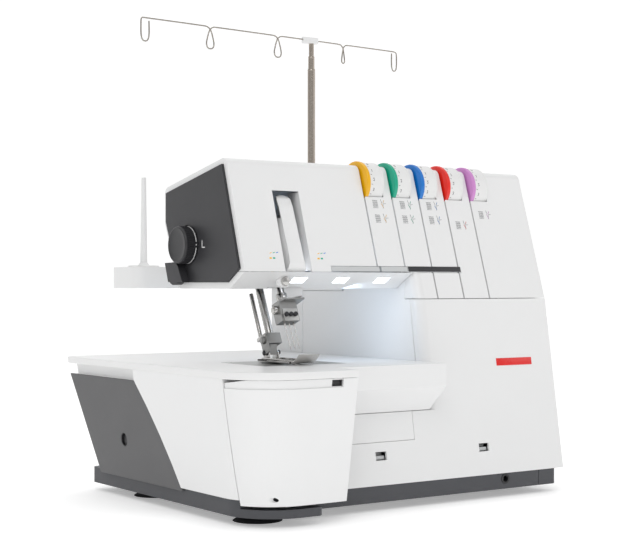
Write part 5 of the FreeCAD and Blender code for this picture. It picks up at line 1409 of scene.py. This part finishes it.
# ------------------------------------------------------------------ studio
@dataclass
class Studio:
    """Pale sweep, soft lights and the camera."""

    camera_at: Point = (-895.96, -1253.72, 222.56)
    heading: float = 35.03
    lens: float = 81.0
    sensor: float = 36.0
    shift: float = 3.0 / 640.0
    far: float = 60.0
    world: float = 0.48
    paper_glow: float = 0.34
    sweep_half: float = 9.0

    def build(self) -> None:
        """Make the whole studio."""
        self._sweep()
        self._lights()
        self._camera()

    def _sweep(self) -> None:
        """A floor that curves up into a wall behind the machine."""
        mesh = bmesh.new()
        way = Vector((math.sin(math.radians(self.heading)), math.cos(math.radians(self.heading)), 0.0))
        side = Vector((way.y, -way.x, 0.0))
        profile = [(-6.0, 0.0), (1.5, 0.0)]
        profile += [(1.5 + 1.5 * math.sin(math.radians(step)), 1.5 - 1.5 * math.cos(math.radians(step)))
                    for step in range(10, 91, 10)]
        profile.append((3.0, 7.0))
        row = [mesh.verts.new(way * run - side * self.sweep_half + Vector((0, 0, rise))) for run,
               rise in profile]
        edges = [mesh.edges.new(pair) for pair in zip(row, row[1:])]
        grown = bmesh.ops.extrude_edge_only(mesh, edges=edges)
        moved = [item for item in grown["geom"] if isinstance(item, bmesh.types.BMVert)]
        bmesh.ops.translate(mesh, verts=moved, vec=side * self.sweep_half * 2)
        data = bpy.data.meshes.new("studio_sweep")
        mesh.to_mesh(data)
        mesh.free()
        data.shade_smooth()
        sweep = bpy.data.objects.new("studio_sweep", data)
        bpy.context.scene.collection.objects.link(sweep)
        graph = Graph("sweep_paper")
        fibre = graph.noise(3.0, 4.0)
        tint = graph.blend(fibre, (0.93, 0.93, 0.93), (0.96, 0.96, 0.96))
        data.materials.append(graph.surface({"Base Color": tint, "Roughness": 0.85 + fibre * 0.1,
                                             "Emission Color": tint, "Emission Strength": self.paper_glow}))

    def _lights(self) -> None:
        """A bright even world, a key from the front left, a fill, a top light and the sewing lamp."""
        world = bpy.data.worlds.new("studio_world")
        world.use_nodes = True
        backdrop = world.node_tree.nodes["Background"]
        backdrop.inputs["Color"].default_value = (1.0, 1.0, 1.0, 1.0)
        backdrop.inputs["Strength"].default_value = self.world
        bpy.context.scene.world = world
        white, cool = (1.0, 1.0, 1.0), (0.60, 0.78, 1.0)
        for name, at, aim, size, power, color in (
                ("key", (-1.6, -1.9, 2.3), (0, 0, 0.2), 1.8, 22.0, white),
                ("fill", (2.2, -1.8, 1.3), (0, 0, 0.2), 1.6, 5.0, white),
                ("top", (0.0, 0.2, 2.6), (0, 0, 0.2), 2.2, 12.0, white),
                ("sewing_lamp", (-0.05, -0.07, 0.214), (0.03, 0.03, 0.15), 0.05, 0.045, cool)):
            light = bpy.data.lights.new(name, "AREA")
            light.shape = "SQUARE"
            light.size = size
            light.energy = power
            light.color = color
            lamp = bpy.data.objects.new(name, light)
            lamp.location = at
            lamp.rotation_euler = (Vector(aim) - Vector(at)).to_track_quat("-Z", "Y").to_euler()
            bpy.context.scene.collection.objects.link(lamp)

    def _camera(self) -> None:
        """A level long-lens camera."""
        view = bpy.data.cameras.new("camera")
        view.lens = self.lens
        view.sensor_width = self.sensor
        view.shift_y = self.shift
        view.clip_end = self.far
        camera = bpy.data.objects.new("camera", view)
        camera.location = metres(self.camera_at)
        camera.rotation_euler = (math.radians(90.0), 0.0, -math.radians(self.heading))
        bpy.context.scene.collection.objects.link(camera)
        bpy.context.scene.camera = camera
        bpy.context.scene.view_settings.view_transform = "Standard"


def dress_nodes(bench: Bench) -> None:
    """Give every CAD node the finish of its record slot."""
    for entry in bench.frame["record"]["subparts"]:
        bench.dress(entry["node"], Slot(entry["material_slot"]))


def main() -> None:
    """Load the frame, build each sub-assembly and report its pieces."""
    logging.basicConfig(level=logging.INFO, format="%(name)s: %(message)s")
    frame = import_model()
    bench = Bench(frame, Paintbox())
    dress_nodes(bench)
    assemblies = [Casing(bench),
                  *(TensionDial(bench, index, color) for index, color in enumerate(THREAD_COLORS)),
                  FrontMarks(bench), EndControls(bench), TakeUp(bench), SewingParts(bench),
                  ThreadStand(bench),
                  DriveSide(bench), BodyDetails(bench)]
    for assembly in assemblies:
        before = len(bench.pieces)
        assembly.build()
        LOG.info("%s: %s", type(assembly).__name__, ", ".join(bench.pieces[before:]))
    Studio().build()


if __name__ == "__main__":
    main()
